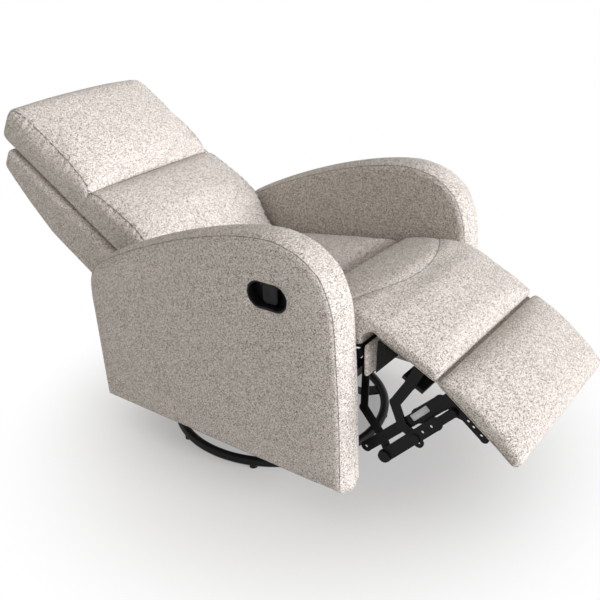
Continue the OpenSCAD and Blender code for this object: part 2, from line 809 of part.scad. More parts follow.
// Thickness tables along the back: [distance from the pivot, height above the pivot line]
lumbar_t = 110;
lumbar_shares = [[0, 0.44], [0.14, 0.52], [0.24, 0.71], [0.36, 0.92], [0.5, 1], [0.75, 0.918], [1, 0.818]];
lumbar_profile = [
    for (share = lumbar_shares) [lumbar_start + lumbar_len * share.x, lumbar_t * share.y]
];
headrest_start = lumbar_start + lumbar_len + crease_gap;
headrest_t = 101;
headrest_shares = [[0, 0.89], [0.25, 0.98], [0.6, 1], [0.85, 0.96], [1, 0.87]];
headrest_profile = [
    for (share = headrest_shares) [headrest_start + headrest_len * share.x, headrest_t * share.y]
];

module lumbar_cushion() {
    color(fabric) soft_form(cushion_rings(back_frame, back_w / 2, lumbar_start, lumbar_start + lumbar_len,
        lumbar_edge, back_crown, side_draw, function (s) cushion_base, function (s) lookup(s, lumbar_profile)));
}

module headrest_cushion() {
    color(fabric) soft_form(cushion_rings(back_frame, back_w / 2, headrest_start, headrest_start + headrest_len,
        headrest_edge, back_crown, side_draw,
        function (s) cushion_base, function (s) lookup(s, headrest_profile)));
}

// The upholstered shell: thick at the lower half, thin at the top
shell_start = -118;
shell_edge = 16;
shell_heel = 78;
shell_profile = [
    [shell_start, -shell_t], [shell_len * 0.6, -shell_t * 0.952], [shell_len, -shell_top_t]
];

module back_shell() {
    color(fabric_dark) difference() {
        soft_form(cushion_rings(back_frame, shell_half, shell_start, shell_len,
            shell_edge, 0, 0, function (s) lookup(s, shell_profile), function (s) shell_face));
        // the lower end is cut back so that it passes the arms' rear rail
        side_sheet(-back_w, 2 * back_w) polygon([
            on_frame(back_frame, shell_start - cut, -shell_t),
            on_frame(back_frame, shell_start + shell_heel, shell_face + cut),
            on_frame(back_frame, shell_start - shell_heel, shell_face + cut)
        ]);
    }
}

// Steel bracket that ties the shell to the back pivot
back_bracket_reach = 190;
back_bracket_w = 34;

module back_bracket(left) {
    p = on_frame(back_frame, back_bracket_reach, -shell_t * 0.4);
    color(steel) on_side(left) {
        side_sheet(back_bracket_x, back_bracket_t) difference() {
            strap(back_pivot, p, back_bracket_w);
            hole(back_pivot, back_stud_d + 2 * run_gap);
            for (share = [0.35, 0.76]) hole(back_pivot + share * (p - back_pivot), pin_d);
        }
        for (share = [0.6, 0.92])
            cross_rod(back_pivot + share * (p - back_pivot),
                shell_half + soft_gap / 2, back_bracket_x + back_bracket_t / 2, 2 * pin_d);
    }
}

// Footrest

ear_x = 112;
ear_w = 24;
ear_t = 4;
ear_r = 9;
board_inset = 16;
board_start = 8;

// Ears on the front rail that carry the pins of the leg hinge
module leg_hinge_ears() {
    color(steel) for (left = [true, false]) on_side(left) {
        side_sheet(ear_x, ear_t) difference() {
            union() {
                circle_at(leg_hinge, 2 * ear_r);
                translate([front_rail_front + face_gap / 2, leg_hinge.y - ear_w]) square([ear_r, ear_w]);
            }
        }
        translate([ear_x, -front_rail_front - face_gap / 2 - ear_t, leg_hinge.y - 2.4 * ear_w])
            cube([ear_w, ear_t, 2 * ear_w]);
        cross_rod(leg_hinge, ear_x + ear_t / 2, ear_x + 2 * ear_t + 2 * face_gap, pin_d);
    }
}

module circle_at(p, d) {
    translate(p) circle(d = d);
}

// The board under a pad
module pad_board(frame, length, half) {
    color(wood) frame_box(frame, board_start, length, under_gap, under_gap + board_t, -half, half);
}

// Hinge straps under the leg board: an eye at each hinge
module leg_straps() {
    for (left = [true, false]) on_side(left)
        side_sheet(ear_x + ear_t + face_gap, ear_t) difference() {
            union() {
                circle_at(leg_hinge, 2 * ear_r);
                polygon([
                    leg_hinge + [-ear_r * 0.2, ear_r], leg_hinge + [ear_r, -ear_r * 0.2],
                    on_frame(leg_frame, under_gap * 1.3, under_gap * 0.45),
                    on_frame(leg_frame, leg_len - under_gap * 1.3, under_gap * 0.45),
                    ottoman_hinge + [ear_r * 0.4, -ear_r * 0.8], ottoman_hinge + [ear_r * 0.6, ear_r * 0.6],
                    on_frame(leg_frame, leg_len - board_start, under_gap),
                    on_frame(leg_frame, board_start, under_gap)
                ]);
                circle_at(ottoman_hinge, 2 * ear_r);
            }
            hole(leg_hinge, pin_d + 2 * run_gap);
            hole(ottoman_hinge, pin_d + 2 * run_gap);
        }
}

module leg_board() {
    pad_board(leg_frame, leg_len - board_start, pad_w / 2 - board_inset);
    color(steel) leg_straps();
}

module ottoman_board() {
    pad_board(ottoman_frame, ottoman_len - board_start, pad_w / 2 - board_inset);
    color(steel) for (left = [true, false]) on_side(left) {
        side_sheet(ear_x, ear_t) {
            circle_at(ottoman_hinge, 2 * ear_r);
            polygon([
                ottoman_hinge + [-ear_r * 0.5, ear_r * 0.6], ottoman_hinge + [0, -ear_r],
                on_frame(ottoman_frame, 2.2 * under_gap, under_gap * 0.5),
                on_frame(ottoman_frame, 3 * under_gap, under_gap),
                on_frame(ottoman_frame, board_start, under_gap)
            ]);
        }
        cross_rod(ottoman_hinge, ear_x + ear_t / 2, ear_x + 2 * ear_t + 2 * face_gap, pin_d);
    }
}

pad_edge = 10;
leg_pad_start = -31;
valley_gap = 2;

module pad_form(frame, start, length, crown) {
    soft_form(cushion_rings(frame, pad_w / 2, start, length, pad_edge, crown, 2,
        function (s) under_gap - soft_gap * 2, function (s) under_gap + pad_t), true);
}

module board_pocket(frame, start, length) {
    frame_box(frame, start - soft_gap, length + soft_gap,
        under_gap - 2 * pad_edge, under_gap + board_t + soft_gap,
        -pad_w / 2 + board_inset - soft_gap, pad_w / 2 - board_inset + soft_gap);
}

module leg_pad() {
    color(fabric) difference() {
        pad_form(leg_frame, leg_pad_start, leg_len - valley_gap, pad_crown);
        board_pocket(leg_frame, board_start, leg_len - board_start);
    }
}

module ottoman_pad() {
    color(fabric) difference() {
        pad_form(ottoman_frame, valley_gap, ottoman_len, pad_crown);
        board_pocket(ottoman_frame, board_start, ottoman_len - board_start);
    }
}

// Linkage plates

bracket_w = 27;
flange_w = 18;
cross_board_drop = 39;
cross_board_t = 9;
cross_board_start = 95;
strut_s = cross_board_start + cross_board_w * 0.42;

// Bent plate on the leg board: it carries the cross board and guides the lower bar in a slot
module leg_bracket(left) {
    slot_end = slot_pin + slot_run;
    bend_share = [0.333, -0.883];
    heel_share = [0.46, -1.2];
    bend = link_point(bend_share);
    heel = link_point(heel_share);
    slot_w = pin_d + 2 * layer_gap;
    top = on_frame(leg_frame, strut_s, under_gap * 0.4);
    knee = on_frame(leg_frame, strut_s, -cross_board_drop);
    color(steel) on_side(left) {
        side_sheet(bracket_x, plate_t) difference() {
            union() {
                strap(top, knee, bracket_w);
                strap(knee, bend, bracket_w);
                strap(bend, heel, bracket_w);
                strap(heel, slot_pin, bracket_w);
                strap(slot_pin, slot_end, bracket_w);
                polygon([
                    on_frame(leg_frame, under_gap, under_gap * 0.6),
                    on_frame(leg_frame, leg_len - under_gap, under_gap * 0.6),
                    on_frame(leg_frame, leg_len - board_start, under_gap),
                    on_frame(leg_frame, board_start, under_gap)
                ]);
            }
            strap(slot_pin, slot_end, slot_w);
            side_trim();
        }
        frame_box(leg_frame, under_gap, leg_len - under_gap, under_gap - plate_t, under_gap,
            bracket_x - flange_w, bracket_x);
    }
}

// Keeps the bracket's plate below the board
module side_trim() {
    polygon([
        on_frame(leg_frame, -leg_len, under_gap), on_frame(leg_frame, 2 * leg_len, under_gap),
        on_frame(leg_frame, 2 * leg_len, 3 * under_gap), on_frame(leg_frame, -leg_len, 3 * under_gap)
    ]);
}

module cross_board() {
    color(plastic) frame_box(leg_frame, cross_board_start, cross_board_start + cross_board_w,
        -cross_board_drop, -cross_board_drop + cross_board_t, -bracket_x, bracket_x);
}

// Bracket on the ottoman board with a row of holes, driven by both bars
bracket_hole_shares = [0.43, 0.50, 0.60];
strip_w = 21;
strip_n = 7;

module ottoman_bracket(left) {
    end = on_frame(ottoman_frame, ottoman_len * 0.64, strip_n);
    elbow = on_frame(ottoman_frame, ottoman_len * 0.38, strip_n);
    reach = lower_bar_x + plate_t + face_gap;
    color(steel) on_side(left) {
        side_sheet(bracket_x, plate_t) difference() {
            union() {
                strap(bracket_upper, bracket_lower, strip_w);
                strap(bracket_lower, elbow, strip_w);
                strap(elbow, end, strip_w);
                polygon([
                    on_frame(ottoman_frame, ottoman_len * 0.16, 0),
                    on_frame(ottoman_frame, ottoman_len * 0.6, strip_n),
                    on_frame(ottoman_frame, ottoman_len * 0.6, under_gap),
                    on_frame(ottoman_frame, ottoman_len * 0.13, under_gap)
                ]);
            }
            for (share = bracket_hole_shares)
                hole(on_frame(ottoman_frame, ottoman_len * share, strip_n), pin_d * 0.9);
        }
        frame_box(ottoman_frame, ottoman_len * 0.2, ottoman_len * 0.6, under_gap - plate_t, under_gap,
            bracket_x - flange_w, bracket_x);
        cross_rod(bracket_lower, bracket_x + plate_t / 2, reach, pin_d);
        cross_rod(bracket_lower, reach, reach + head_t, head_d * 0.7);
        cross_rod(bracket_upper, upper_bar_x - face_gap, bracket_x + plate_t / 2, pin_d);
    }
}

// Upright arm of the crank, turning on the side plate's stud
module crank_arm(left) {
    waist_share = [-0.20, -1.198];
    waist = link_point(waist_share);
    arm_plate_w = 26;
    reach = lower_bar_x + plate_t + face_gap;
    color(steel) on_side(left) {
        side_sheet(crank_arm_x, plate_t) difference() {
            union() {
                strap(crank_stud, waist, arm_plate_w * 0.78);
                strap(waist, cross_rivet, arm_plate_w);
                strap(cross_rivet, lower_pin, arm_plate_w);
            }
            hole(crank_stud, crank_stud_d + 2 * run_gap);
        }
        cross_rod(lower_pin, crank_arm_x + plate_t / 2, reach, pin_d);
        cross_rod(lower_pin, reach, reach + 2 * head_t, head_d + 2 * head_t);
    }
}

// Cross arm riveted to the upright one. Its front end drives the upper bar.
module crank_cross(left) {
    cross_plate_w = 28;
    color(steel) on_side(left) {
        side_sheet(crank_cross_x, plate_t) difference() {
            union() {
                strap(cross_end, cross_rivet, cross_plate_w);
                strap(cross_rivet, upper_pin, cross_plate_w);
            }
            hole(cross_end, pin_d);
            hole(lower_pin, pin_d + 2 * face_gap);
        }
        cross_rod(upper_pin, crank_cross_x + plate_t / 2, upper_bar_x + plate_t, pin_d);
        cross_rod(cross_rivet, crank_cross_x + plate_t / 2, crank_cross_x + plate_t + layer_gap / 2, pin_d * 2);
    }
}

// Lower bar from the crank to the ottoman bracket, with the pin that runs in the leg bracket's slot
module lower_bar(left) {
    run = bracket_lower - lower_pin;
    narrow_share = 0.76;
    hole_shares = [0.575, 0.70];
    color(steel) on_side(left) {
        side_sheet(lower_bar_x, plate_t) difference() {
            union() {
                strap(lower_pin, lower_pin + narrow_share * run, bar_w);
                strap(lower_pin + narrow_share * run, bracket_lower, bar_w * 0.68);
            }
            hole(lower_pin, pin_d + 2 * open_play);
            hole(bracket_lower, pin_d + 2 * run_gap);
            for (share = hole_shares) hole(lower_pin + share * run, pin_d);
        }
        cross_rod(slot_pin, bracket_x - face_gap, lower_bar_x + plate_t, pin_d);
        cross_rod(slot_pin, lower_bar_x + plate_t, lower_bar_x + plate_t + head_t, head_d);
    }
}

// Upper bar from the crank's cross arm to the ottoman bracket
module upper_bar(left) {
    run = bracket_upper - upper_pin;
    wide_share = 0.34;
    color(steel) on_side(left) side_sheet(upper_bar_x, plate_t) difference() {
        union() {
            strap(upper_pin, upper_pin + wide_share * run, bar_w * 0.9);
            strap(upper_pin + wide_share * run, bracket_upper - 0.15 * run, bar_w * 1.15);
            strap(bracket_upper - 0.15 * run, bracket_upper, bar_w * 0.8);
        }
        hole(upper_pin, pin_d + 2 * open_play);
        hole(bracket_upper, pin_d + 2 * run_gap);
    }
}

base_ring();
base_cross();
base_glides();
lower_race();
bearing_balls();
spindle();
upper_race();
swivel_plate();
swivel_cross_rails();
hanger(true);  // hanger_left
hanger(false);  // hanger_right
swing_link(1, true);  // front_swing_link_left
swing_link(1, false);  // front_swing_link_right
swing_link(-1, true);  // rear_swing_link_left
swing_link(-1, false);  // rear_swing_link_right
glide_rail(true);  // glide_rail_left
glide_rail(false);  // glide_rail_right
cross_tube(tube_offset);  // front_cross_tube
cross_tube(-tube_offset);  // rear_cross_tube
side_plate(true);  // side_plate_left
side_plate(false);  // side_plate_right
front_rail();
rear_rail();
arm_left();
arm_right();
seat_side_rails();
seat_front_member();
seat_rear_member();
seat_springs();
seat_cushion();
seat_front_roll();
front_apron();
release_bezel();
release_paddle();
back_bracket(true);  // back_bracket_left
back_bracket(false);  // back_bracket_right
back_shell();
lumbar_cushion();
headrest_cushion();
leg_hinge_ears();
leg_board();
leg_pad();
leg_bracket(true);  // leg_bracket_left
leg_bracket(false);  // leg_bracket_right
cross_board();
ottoman_board();
ottoman_pad();
ottoman_bracket(true);  // ottoman_bracket_left
ottoman_bracket(false);  // ottoman_bracket_right
crank_arm(true);  // crank_arm_left
crank_arm(false);  // crank_arm_right
crank_cross(true);  // crank_cross_left
crank_cross(false);  // crank_cross_right
lower_bar(true);  // lower_bar_left
lower_bar(false);  // lower_bar_right
upper_bar(true);  // upper_bar_left
upper_bar(false);  // upper_bar_right
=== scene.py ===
# %% [markdown]
# Dressing a swivel glider recliner.
# The frame holds the steel, the boards and plain forms for the soft parts. This lesson makes what
# a cover and its filling do over them: crowned cushions, seams, a tweed with flecks in its yarn
# and satin black steel. Pieces could be placed by eye against a picture, but then nothing would
# turn with the mechanism. So the frame is loaded first, and every piece is placed from it.

# %% Load the frame
import json
import math

import bmesh
import bpy
import numpy as np
from mathutils import Matrix, Vector
from mathutils.bvhtree import BVHTree


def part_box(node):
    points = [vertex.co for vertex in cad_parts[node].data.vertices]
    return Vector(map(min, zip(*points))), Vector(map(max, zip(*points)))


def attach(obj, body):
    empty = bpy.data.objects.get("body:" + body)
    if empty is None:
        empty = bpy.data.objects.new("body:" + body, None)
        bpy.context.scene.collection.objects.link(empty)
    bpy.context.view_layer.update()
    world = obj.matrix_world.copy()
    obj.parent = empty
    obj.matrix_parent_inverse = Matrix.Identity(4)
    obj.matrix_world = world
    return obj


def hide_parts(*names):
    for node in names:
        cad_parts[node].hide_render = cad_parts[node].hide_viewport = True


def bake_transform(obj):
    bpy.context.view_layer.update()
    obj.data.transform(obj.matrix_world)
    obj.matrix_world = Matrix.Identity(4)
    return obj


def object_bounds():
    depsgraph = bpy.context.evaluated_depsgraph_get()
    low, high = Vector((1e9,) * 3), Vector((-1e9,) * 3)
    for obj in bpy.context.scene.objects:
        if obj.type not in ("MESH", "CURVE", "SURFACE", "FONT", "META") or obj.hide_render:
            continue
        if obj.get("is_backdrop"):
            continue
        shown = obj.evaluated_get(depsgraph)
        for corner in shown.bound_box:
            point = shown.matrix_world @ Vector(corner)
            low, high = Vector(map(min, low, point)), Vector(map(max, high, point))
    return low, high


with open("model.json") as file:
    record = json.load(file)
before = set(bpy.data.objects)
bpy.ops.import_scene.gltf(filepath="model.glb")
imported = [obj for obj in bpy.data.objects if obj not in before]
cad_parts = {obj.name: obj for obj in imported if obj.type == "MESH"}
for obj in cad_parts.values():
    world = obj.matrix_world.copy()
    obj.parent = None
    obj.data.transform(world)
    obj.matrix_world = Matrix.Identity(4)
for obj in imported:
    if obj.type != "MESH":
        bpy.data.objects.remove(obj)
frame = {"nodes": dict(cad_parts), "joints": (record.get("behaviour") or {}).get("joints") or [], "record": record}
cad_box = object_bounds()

MM = 0.001
scene = bpy.context.scene
nodes = frame["nodes"]
joints = {joint["name"]: joint for joint in frame["joints"]}

# %% [markdown]
# The back, the seat, the leg rest and the ottoman all lie at a slope. They could be modelled flat
# and turned into place, but their profiles are easier to read where they lie. So each gets a
# plane, on which one number runs along the cushion and another stands square to it. The pivots
# come from the joints, so that the covers always meet the steel.

# %% Planes for the sloping parts
FORWARD, BACKWARD = -1, 1


class Plane:
    """A plane across the chair: x across, s along the slope, n square to it."""

    def __init__(self, origin, along):
        self.origin = Vector(origin)
        self.along = Vector(along).normalized()
        self.square = Vector((1, 0, 0)).cross(self.along).normalized()
        if self.square.z < 0:
            self.square.negate()

    def at(self, x, s, n):
        p = self.origin + self.along * s + self.square * n
        return (p.x + x, p.y, p.z)

    def find(self, point):
        v = Vector(point) - self.origin
        return v.dot(self.along), v.dot(self.square)


def sloped(degrees, way):
    """A direction along the chair that climbs by an angle, or drops where it is negative."""
    a = math.radians(degrees)
    return (0, way * math.cos(a), math.sin(a))


leg_hinge = Vector(joints["footrest"]["pos_m"])
ottoman_hinge = Vector(joints["ottoman_turn"]["pos_m"])
back_pivot = Vector(joints["recline"]["pos_m"])
seat_drop, back_climb, ottoman_drop = 9.0, 31.0, 37.4
seat_front = leg_hinge + Vector((0, 16, -16)) * MM
leg = Plane(leg_hinge, ottoman_hinge - leg_hinge)
ottoman = Plane(ottoman_hinge, sloped(-ottoman_drop, FORWARD))
back = Plane(back_pivot, sloped(back_climb, BACKWARD))
seat = Plane(seat_front, sloped(-seat_drop, BACKWARD))
leg_len = (ottoman_hinge - leg_hinge).length
print("leg length", round(leg_len, 4), "back pivot", [round(v, 3) for v in back_pivot])

# %% [markdown]
# Each finish is a tree of nodes. Nodes could be wired one by one, but their maths reads best as
# maths. So one class wraps a node's output, and `0.2 + fleck * 0.5` adds the Math nodes by itself,
# while one method adds any other node. Colours go through Mix nodes, because a Math node would
# turn them grey.

# %% A wrapper for sockets
class Value:
    """One output of a node tree, with arithmetic."""

    def __init__(self, tree, socket):
        self.tree, self.socket = tree, socket

    def output(self, name):
        """Another output of the same node."""
        return Value(self.tree, self.socket.node.outputs[name])

    def math(self, operation, *others):
        return self.tree.node("ShaderNodeMath", {"operation": operation}, [self, *others])

    def __add__(self, other):
        return self.math("ADD", other)

    def __sub__(self, other):
        return self.math("SUBTRACT", other)

    def __rsub__(self, other):
        return self.tree.node("ShaderNodeMath", {"operation": "SUBTRACT"}, [other, self])

    def __mul__(self, other):
        return self.math("MULTIPLY", other)

    __radd__ = __add__
    __rmul__ = __mul__


def set_stops(ramp, stops):
    while len(ramp.elements) < len(stops):
        ramp.elements.new(0.5)
    for element, (place, colour) in zip(ramp.elements, stops):
        element.position, element.color = place, colour


class Tree:
    """A node tree being filled: node() adds any node, and returns one of its outputs."""

    def __init__(self, tree):
        self.nodes, self.links = tree.nodes, tree.links

    def node(self, kind, settings=None, inputs=(), output=0):
        made = self.nodes.new(kind)
        for key, value in (settings or {}).items():
            if key == "stops":
                set_stops(made.color_ramp, value)
            else:
                setattr(made, key, value)
        for key, value in inputs.items() if isinstance(inputs, dict) else enumerate(inputs):
            self.plug(value, made.inputs[key])
        return Value(self, made.outputs[output] if len(made.outputs) else None)

    def plug(self, value, socket):
        """Links a node's output to a socket, or sets the socket to a plain number or colour."""
        if isinstance(value, Value):
            self.links.new(value.socket, socket)
        else:
            socket.default_value = value


class Finish(Tree):
    """A material being made. What is the same all over is set on the shader's own sockets."""

    def __init__(self, name, **fixed):
        self.material = bpy.data.materials.new(name)
        self.material.use_nodes = True
        super().__init__(self.material.node_tree)
        self.shader = self.nodes["Principled BSDF"]
        for socket, value in fixed.items():
            self.plug(value, self.shader.inputs[socket.replace("_", " ")])

    def place(self):
        """The point in the object's own space, so that a pattern moves with its piece."""
        return self.node("ShaderNodeTexCoord", output="Object")

    def mix(self, factor, a, b):
        return self.node("ShaderNodeMix", {"data_type": "RGBA"}, {0: factor, 6: a, 7: b}, 2)

    def feed(self, socket, value):
        self.plug(value, self.shader.inputs[socket])

    def bump(self, height, strength, distance):
        inputs = {"Strength": strength, "Distance": distance, "Height": height}
        self.feed("Normal", self.node("ShaderNodeBump", None, inputs))


print("Value does the maths, Tree and Finish hold the nodes")

# %% [markdown]
# The cover is a bulky tweed: a pale warm grey yarn with brown flecks, about one and a half
# millimetres to a stitch. It could be a picture of a weave laid out by UV maps, but a cloth has no
# fixed direction on a moulded cushion, and swelling would stretch it. So the pattern is made of
# cells in space: their distances are the yarn's loops, their random colours pick out the flecks,
# and a slow noise gives the uneven nap. For the seams the same yarn is darkened, as painted shade
# for the creases that the cloth dips into.

# %% Tweed
yarn_light = (0.80, 0.745, 0.695)
yarn_dark = (0.13, 0.102, 0.078)
yarn_stops = [(0.18, 0.0), (0.36, 0.55), (0.55, 0.85), (0.80, 1.12)]
loops_per_m = 680.0
grain_share, fleck_share, patch_share, tone_shift = 0.68, 0.56, 0.10, 0.16
wander_reach = 0.003


def tweed(name, light, dark, painted_shade=1.0, loops=loops_per_m):
    """A knobbly cloth, whose two yarns can be darkened together as painted shade."""
    finish = Finish(name, Roughness=0.95, Sheen_Weight=0.12, Sheen_Roughness=0.5, Specular_IOR_Level=0.15)
    place = finish.place()
    drift = {"Vector": place, "Scale": 140.0, "Detail": 1.0}
    wander = finish.node("ShaderNodeTexNoise", None, drift, "Color")
    push = [wander, (wander_reach,) * 3, place]
    pushed = finish.node("ShaderNodeVectorMath", {"operation": "MULTIPLY_ADD"}, push)
    loop = finish.node("ShaderNodeTexVoronoi", None, {"Vector": pushed, "Scale": loops})
    tint = finish.node("ShaderNodeTexVoronoi", None, {"Vector": pushed, "Scale": loops * 0.8}, "Color")
    grain = finish.node("ShaderNodeSeparateColor", None, [tint])
    fine = {"Vector": place, "Scale": 1000.0, "Detail": 1.0, "Roughness": 0.6}
    fleck = finish.node("ShaderNodeTexNoise", None, fine)
    patch = finish.node("ShaderNodeTexNoise", None, {"Vector": place, "Scale": 30.0, "Detail": 3.0})
    tone = grain * grain_share + fleck * fleck_share + patch * patch_share - tone_shift
    low, high = ([c * painted_shade for c in yarn] for yarn in (dark, light))
    stops = [(at, (*[b + (a - b) * share for a, b in zip(high, low)], 1)) for at, share in yarn_stops]
    finish.feed("Base Color", finish.node("ShaderNodeValToRGB", {"stops": stops}, [tone]))
    finish.bump((1 - loop * 1.4) * 0.6 + fleck * 0.6, strength=0.6, distance=0.0014)
    return finish.material


cover = tweed("tweed_cover", yarn_light, yarn_dark)
# The seams' finish is the same yarn darkened, as painted shade for the creases along the seams.
seam_shade_finish = tweed("seam_painted_shade", yarn_light, yarn_dark, painted_shade=0.42)
print("a stitch is", round(1 / loops_per_m / MM, 2), "mm wide")

# %% [markdown]
# The mechanism is pressed steel with a satin black powder coat, whose fine orange peel shows in
# the highlights. The bearing is bare ground steel, the springs are oiled wire, and the handle is
# moulded plastic. Each could be one flat colour, but then it would look like a drawing. So one
# function gives them all a slow noise for wear, which shifts colour and roughness together, and a
# fine one for the skin.

# %% Steel, wire and plastic
wear_spread = 0.22


def coat(name, colour, roughness, metallic=0.0, peel=900.0, depth=0.00008, shine=0.5):
    """A hard coat. peel is the number of dimples in a metre, depth is how deep they are."""
    finish = Finish(name, Metallic=metallic, Specular_IOR_Level=shine)
    place = finish.place()
    skin = finish.node("ShaderNodeTexNoise", None, {"Vector": place, "Scale": peel, "Detail": 2.0})
    slow = {"Vector": place, "Scale": 35.0, "Detail": 4.0, "Roughness": 0.65}
    wear = finish.node("ShaderNodeTexNoise", None, slow)
    worn = [c * 1.5 + 0.002 for c in colour]
    finish.feed("Base Color", finish.mix(wear, (*colour, 1), (*worn, 1)))
    finish.feed("Roughness", wear * wear_spread + (roughness - 0.08))
    finish.bump(skin, 0.35, depth)
    return finish.material


black_steel = coat("satin_black_steel", (0.0035, 0.0035, 0.004), 0.40, shine=0.16)
black_plastic = coat("moulded_black", (0.006, 0.006, 0.007), 0.42, peel=1600.0, depth=0.00004, shine=0.2)
ground_steel = coat("ground_steel", (0.42, 0.42, 0.43), 0.3, metallic=1.0)
oiled_wire = coat("oiled_wire", (0.09, 0.09, 0.09), 0.35, metallic=1.0)
print("hard finishes", [m.name for m in (black_steel, black_plastic, ground_steel, oiled_wire)])

# %% [markdown]
# The seat and footrest boards are plywood with a black stain, through which the grain shows
# faintly. A wood texture with rings would suit sawn timber. Peeled veneer has long streaks, so a
# noise is stretched along the board's length.

# %% Stained plywood
def plywood(name):
    finish = Finish(name, Roughness=0.62)
    along = finish.node("ShaderNodeMapping", None, {"Vector": finish.place(), "Scale": (6.0, 70.0, 70.0)})
    streaks = {"Vector": along, "Scale": 3.0, "Detail": 6.0, "Distortion": 0.6}
    grain = finish.node("ShaderNodeTexNoise", None, streaks)
    stain = [
        (0.3, (0.010, 0.009, 0.008, 1)),
        (0.52, (0.024, 0.020, 0.017, 1)),
        (0.75, (0.040, 0.033, 0.027, 1)),
    ]
    finish.feed("Base Color", finish.node("ShaderNodeValToRGB", {"stops": stain}, [grain]))
    finish.bump(grain, 0.3, 0.0004)
    return finish.material


board = plywood("black_stained_plywood")
print("board finish", board.name)

# %% [markdown]
# The steel, the plastic and the boards keep the frame's own meshes, whose bores and bends are
# exact. Rebuilding them would only lose that. Each needs no more than its finish, and the record
# says which one.

# %% Finishes on the frame's own parts
by_slot = {
    "upholstery": cover, "black_steel": black_steel, "bearing_steel": ground_steel,
    "spring_wire": oiled_wire, "black_plastic": black_plastic, "board": board,
}
slot_of = {part["node"]: part["material_slot"] for part in frame["record"]["subparts"]}
for name, carried in nodes.items():
    carried.data.materials.clear()
    carried.data.materials.append(by_slot[slot_of[name]])
print("parts finished", len(slot_of))

# %% [markdown]
# Most covers here are worked out as points and faces. Modelling by hand would do as well, but a
# formula can be read and changed. One function turns the points into a piece: it welds the
# seams between patches, points the faces outwards, and lets the piece ride on its body.

# %% From points to a piece
def piece(name, points, faces, body, finish):
    """A smooth mesh that rides on a body, where one is given."""
    mesh = bpy.data.meshes.new(name)
    mesh.from_pydata([tuple(p) for p in points], [], faces)
    work = bmesh.new()
    work.from_mesh(mesh)
    bmesh.ops.remove_doubles(work, verts=work.verts, dist=0.00002)
    bmesh.ops.recalc_face_normals(work, faces=work.faces)
    work.to_mesh(mesh)
    work.free()
    mesh.polygons.foreach_set("use_smooth", [True] * len(mesh.polygons))
    made = bpy.data.objects.new(name, mesh)
    scene.collection.objects.link(made)
    mesh.materials.append(finish)
    if body:
        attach(made, body)
    return made


def wall(rings, count):
    """Faces that join each ring of points to the next."""
    return [
        (r * count + i, r * count + (i + 1) % count, (r + 1) * count + (i + 1) % count, (r + 1) * count + i)
        for r in range(rings - 1) for i in range(count)
    ]


def capped_wall(rings, count):
    last = (rings - 1) * count
    return wall(rings, count) + [tuple(range(count)), tuple(range(last + count - 1, last - 1, -1))]


print("a capped tube of 3 rings of 6 has", len(capped_wall(3, 6)), "faces")

# %% [markdown]
# A cushion is a foam block in a boxed cover. A cube with a subdivision surface would give a
# pillow, but its squares grow uneven, and a cloth needs even ones to swell and crease well. So it
# starts as a box skin of small squares, with its edges rolled over.

# %% A box skin with rolled edges
def box_skin(half, step):
    """Points and faces of a box's skin, divided into squares of about one step."""
    count = [max(2, round(2 * h / step)) for h in half]
    points, faces = [], []
    for axis in range(3):
        a, b = [k for k in range(3) if k != axis]
        row = count[b] + 1
        for side in (-1, 1):
            base = len(points)
            for i in range(count[a] + 1):
                for j in range(count[b] + 1):
                    p = [0.0, 0.0, 0.0]
                    p[axis] = side * half[axis]
                    p[a], p[b] = half[a] * (2 * i / count[a] - 1), half[b] * (2 * j / count[b] - 1)
                    points.append(p)
            corners = [base + i * row + j for i in range(count[a]) for j in range(count[b])]
            faces += [(k, k + row, k + row + 1, k + 1) for k in corners]
    return np.array(points), faces


def rolled(points, half, edge):
    """The box skin with its edges rolled to a radius."""
    core = np.array(half) - edge
    inner = np.clip(points, -core, core)
    out = points - inner
    length = np.linalg.norm(out, axis=1, keepdims=True)
    return inner + np.where(length > 1e-9, out / np.maximum(length, 1e-9) * edge, 0)


print("a box of 2 x 2 x 2 squares has", len(box_skin((1, 1, 1), 1.0)[1]), "faces")

# %% [markdown]
# The box is then bent to the cushion: its thickness follows a profile, which is a short table of
# heights, its middle is crowned, and its sides are drawn in between the corners. A lattice could
# bend it too, but here every bulge is one named number.

# %% A cushion on a plane
def ease(t):
    """A smooth step from 0 to 1."""
    t = min(max(t, 0.0), 1.0)
    return t * t * (3 - 2 * t)


def profile(table):
    places, heights = zip(*table)
    return lambda s: float(np.interp(s, places, heights))


def round_corner(x, s, half, end, radius):
    """A point of a square corner moved onto a round one."""
    dx, ds = abs(x) - (half - radius), s - (end - radius)
    if radius <= 0 or dx <= 0 or ds <= 0:
        return x, s
    share = max(dx, ds) / math.hypot(dx, ds)
    return math.copysign(half - radius + dx * share, x), end - radius + ds * share


def cushion(name, body, plane, half, start, end, under, over, edge, draw=0.0, crown=0.0,
            crown_at=None, fall=3, corner=0.0, step=0.011):
    """A boxed cushion between two profiles. fall says how late the crown drops at the sides."""
    mid, reach = (start + end) / 2, (end - start) / 2
    depth = max(over(s) - under(s) for s in np.linspace(start, end, 9)) / 2
    size = (half, reach, depth)
    skin, faces = box_skin(size, step)
    points = []
    for x, s, n in rolled(skin, size, min(edge, depth * 0.98)):
        up = (n + depth) / (2 * depth)
        a, b = x / half, s / reach
        side = abs(a) ** 4 * (1 - b * b) * (1 - (2 * up - 1) ** 2 * 0.5)
        px, ps = round_corner(x - math.copysign(draw * side, x), mid + s, half, end, corner)
        low, high = under(ps), over(ps)
        rise = crown_at(mid + s) if crown_at else crown * (1 - b ** 4)
        points.append(plane.at(px, ps, low + (high - low) * up + rise * (1 - abs(a) ** fall) * up))
    return piece(name, points, faces, body, cover)


print("halfway a smooth step is at", ease(0.5))

# %% [markdown]
# Filling swells its cover until the seams hold it. A subdivision surface alone looks blown from
# plastic. Blender's cloth, with a pressure inside and the edges of the base pinned, makes the slack
# and the tension of real fabric. Each point may move only so far, which keeps the cushion in its
# own space, and the result is worked into the mesh so that no simulation is left running.

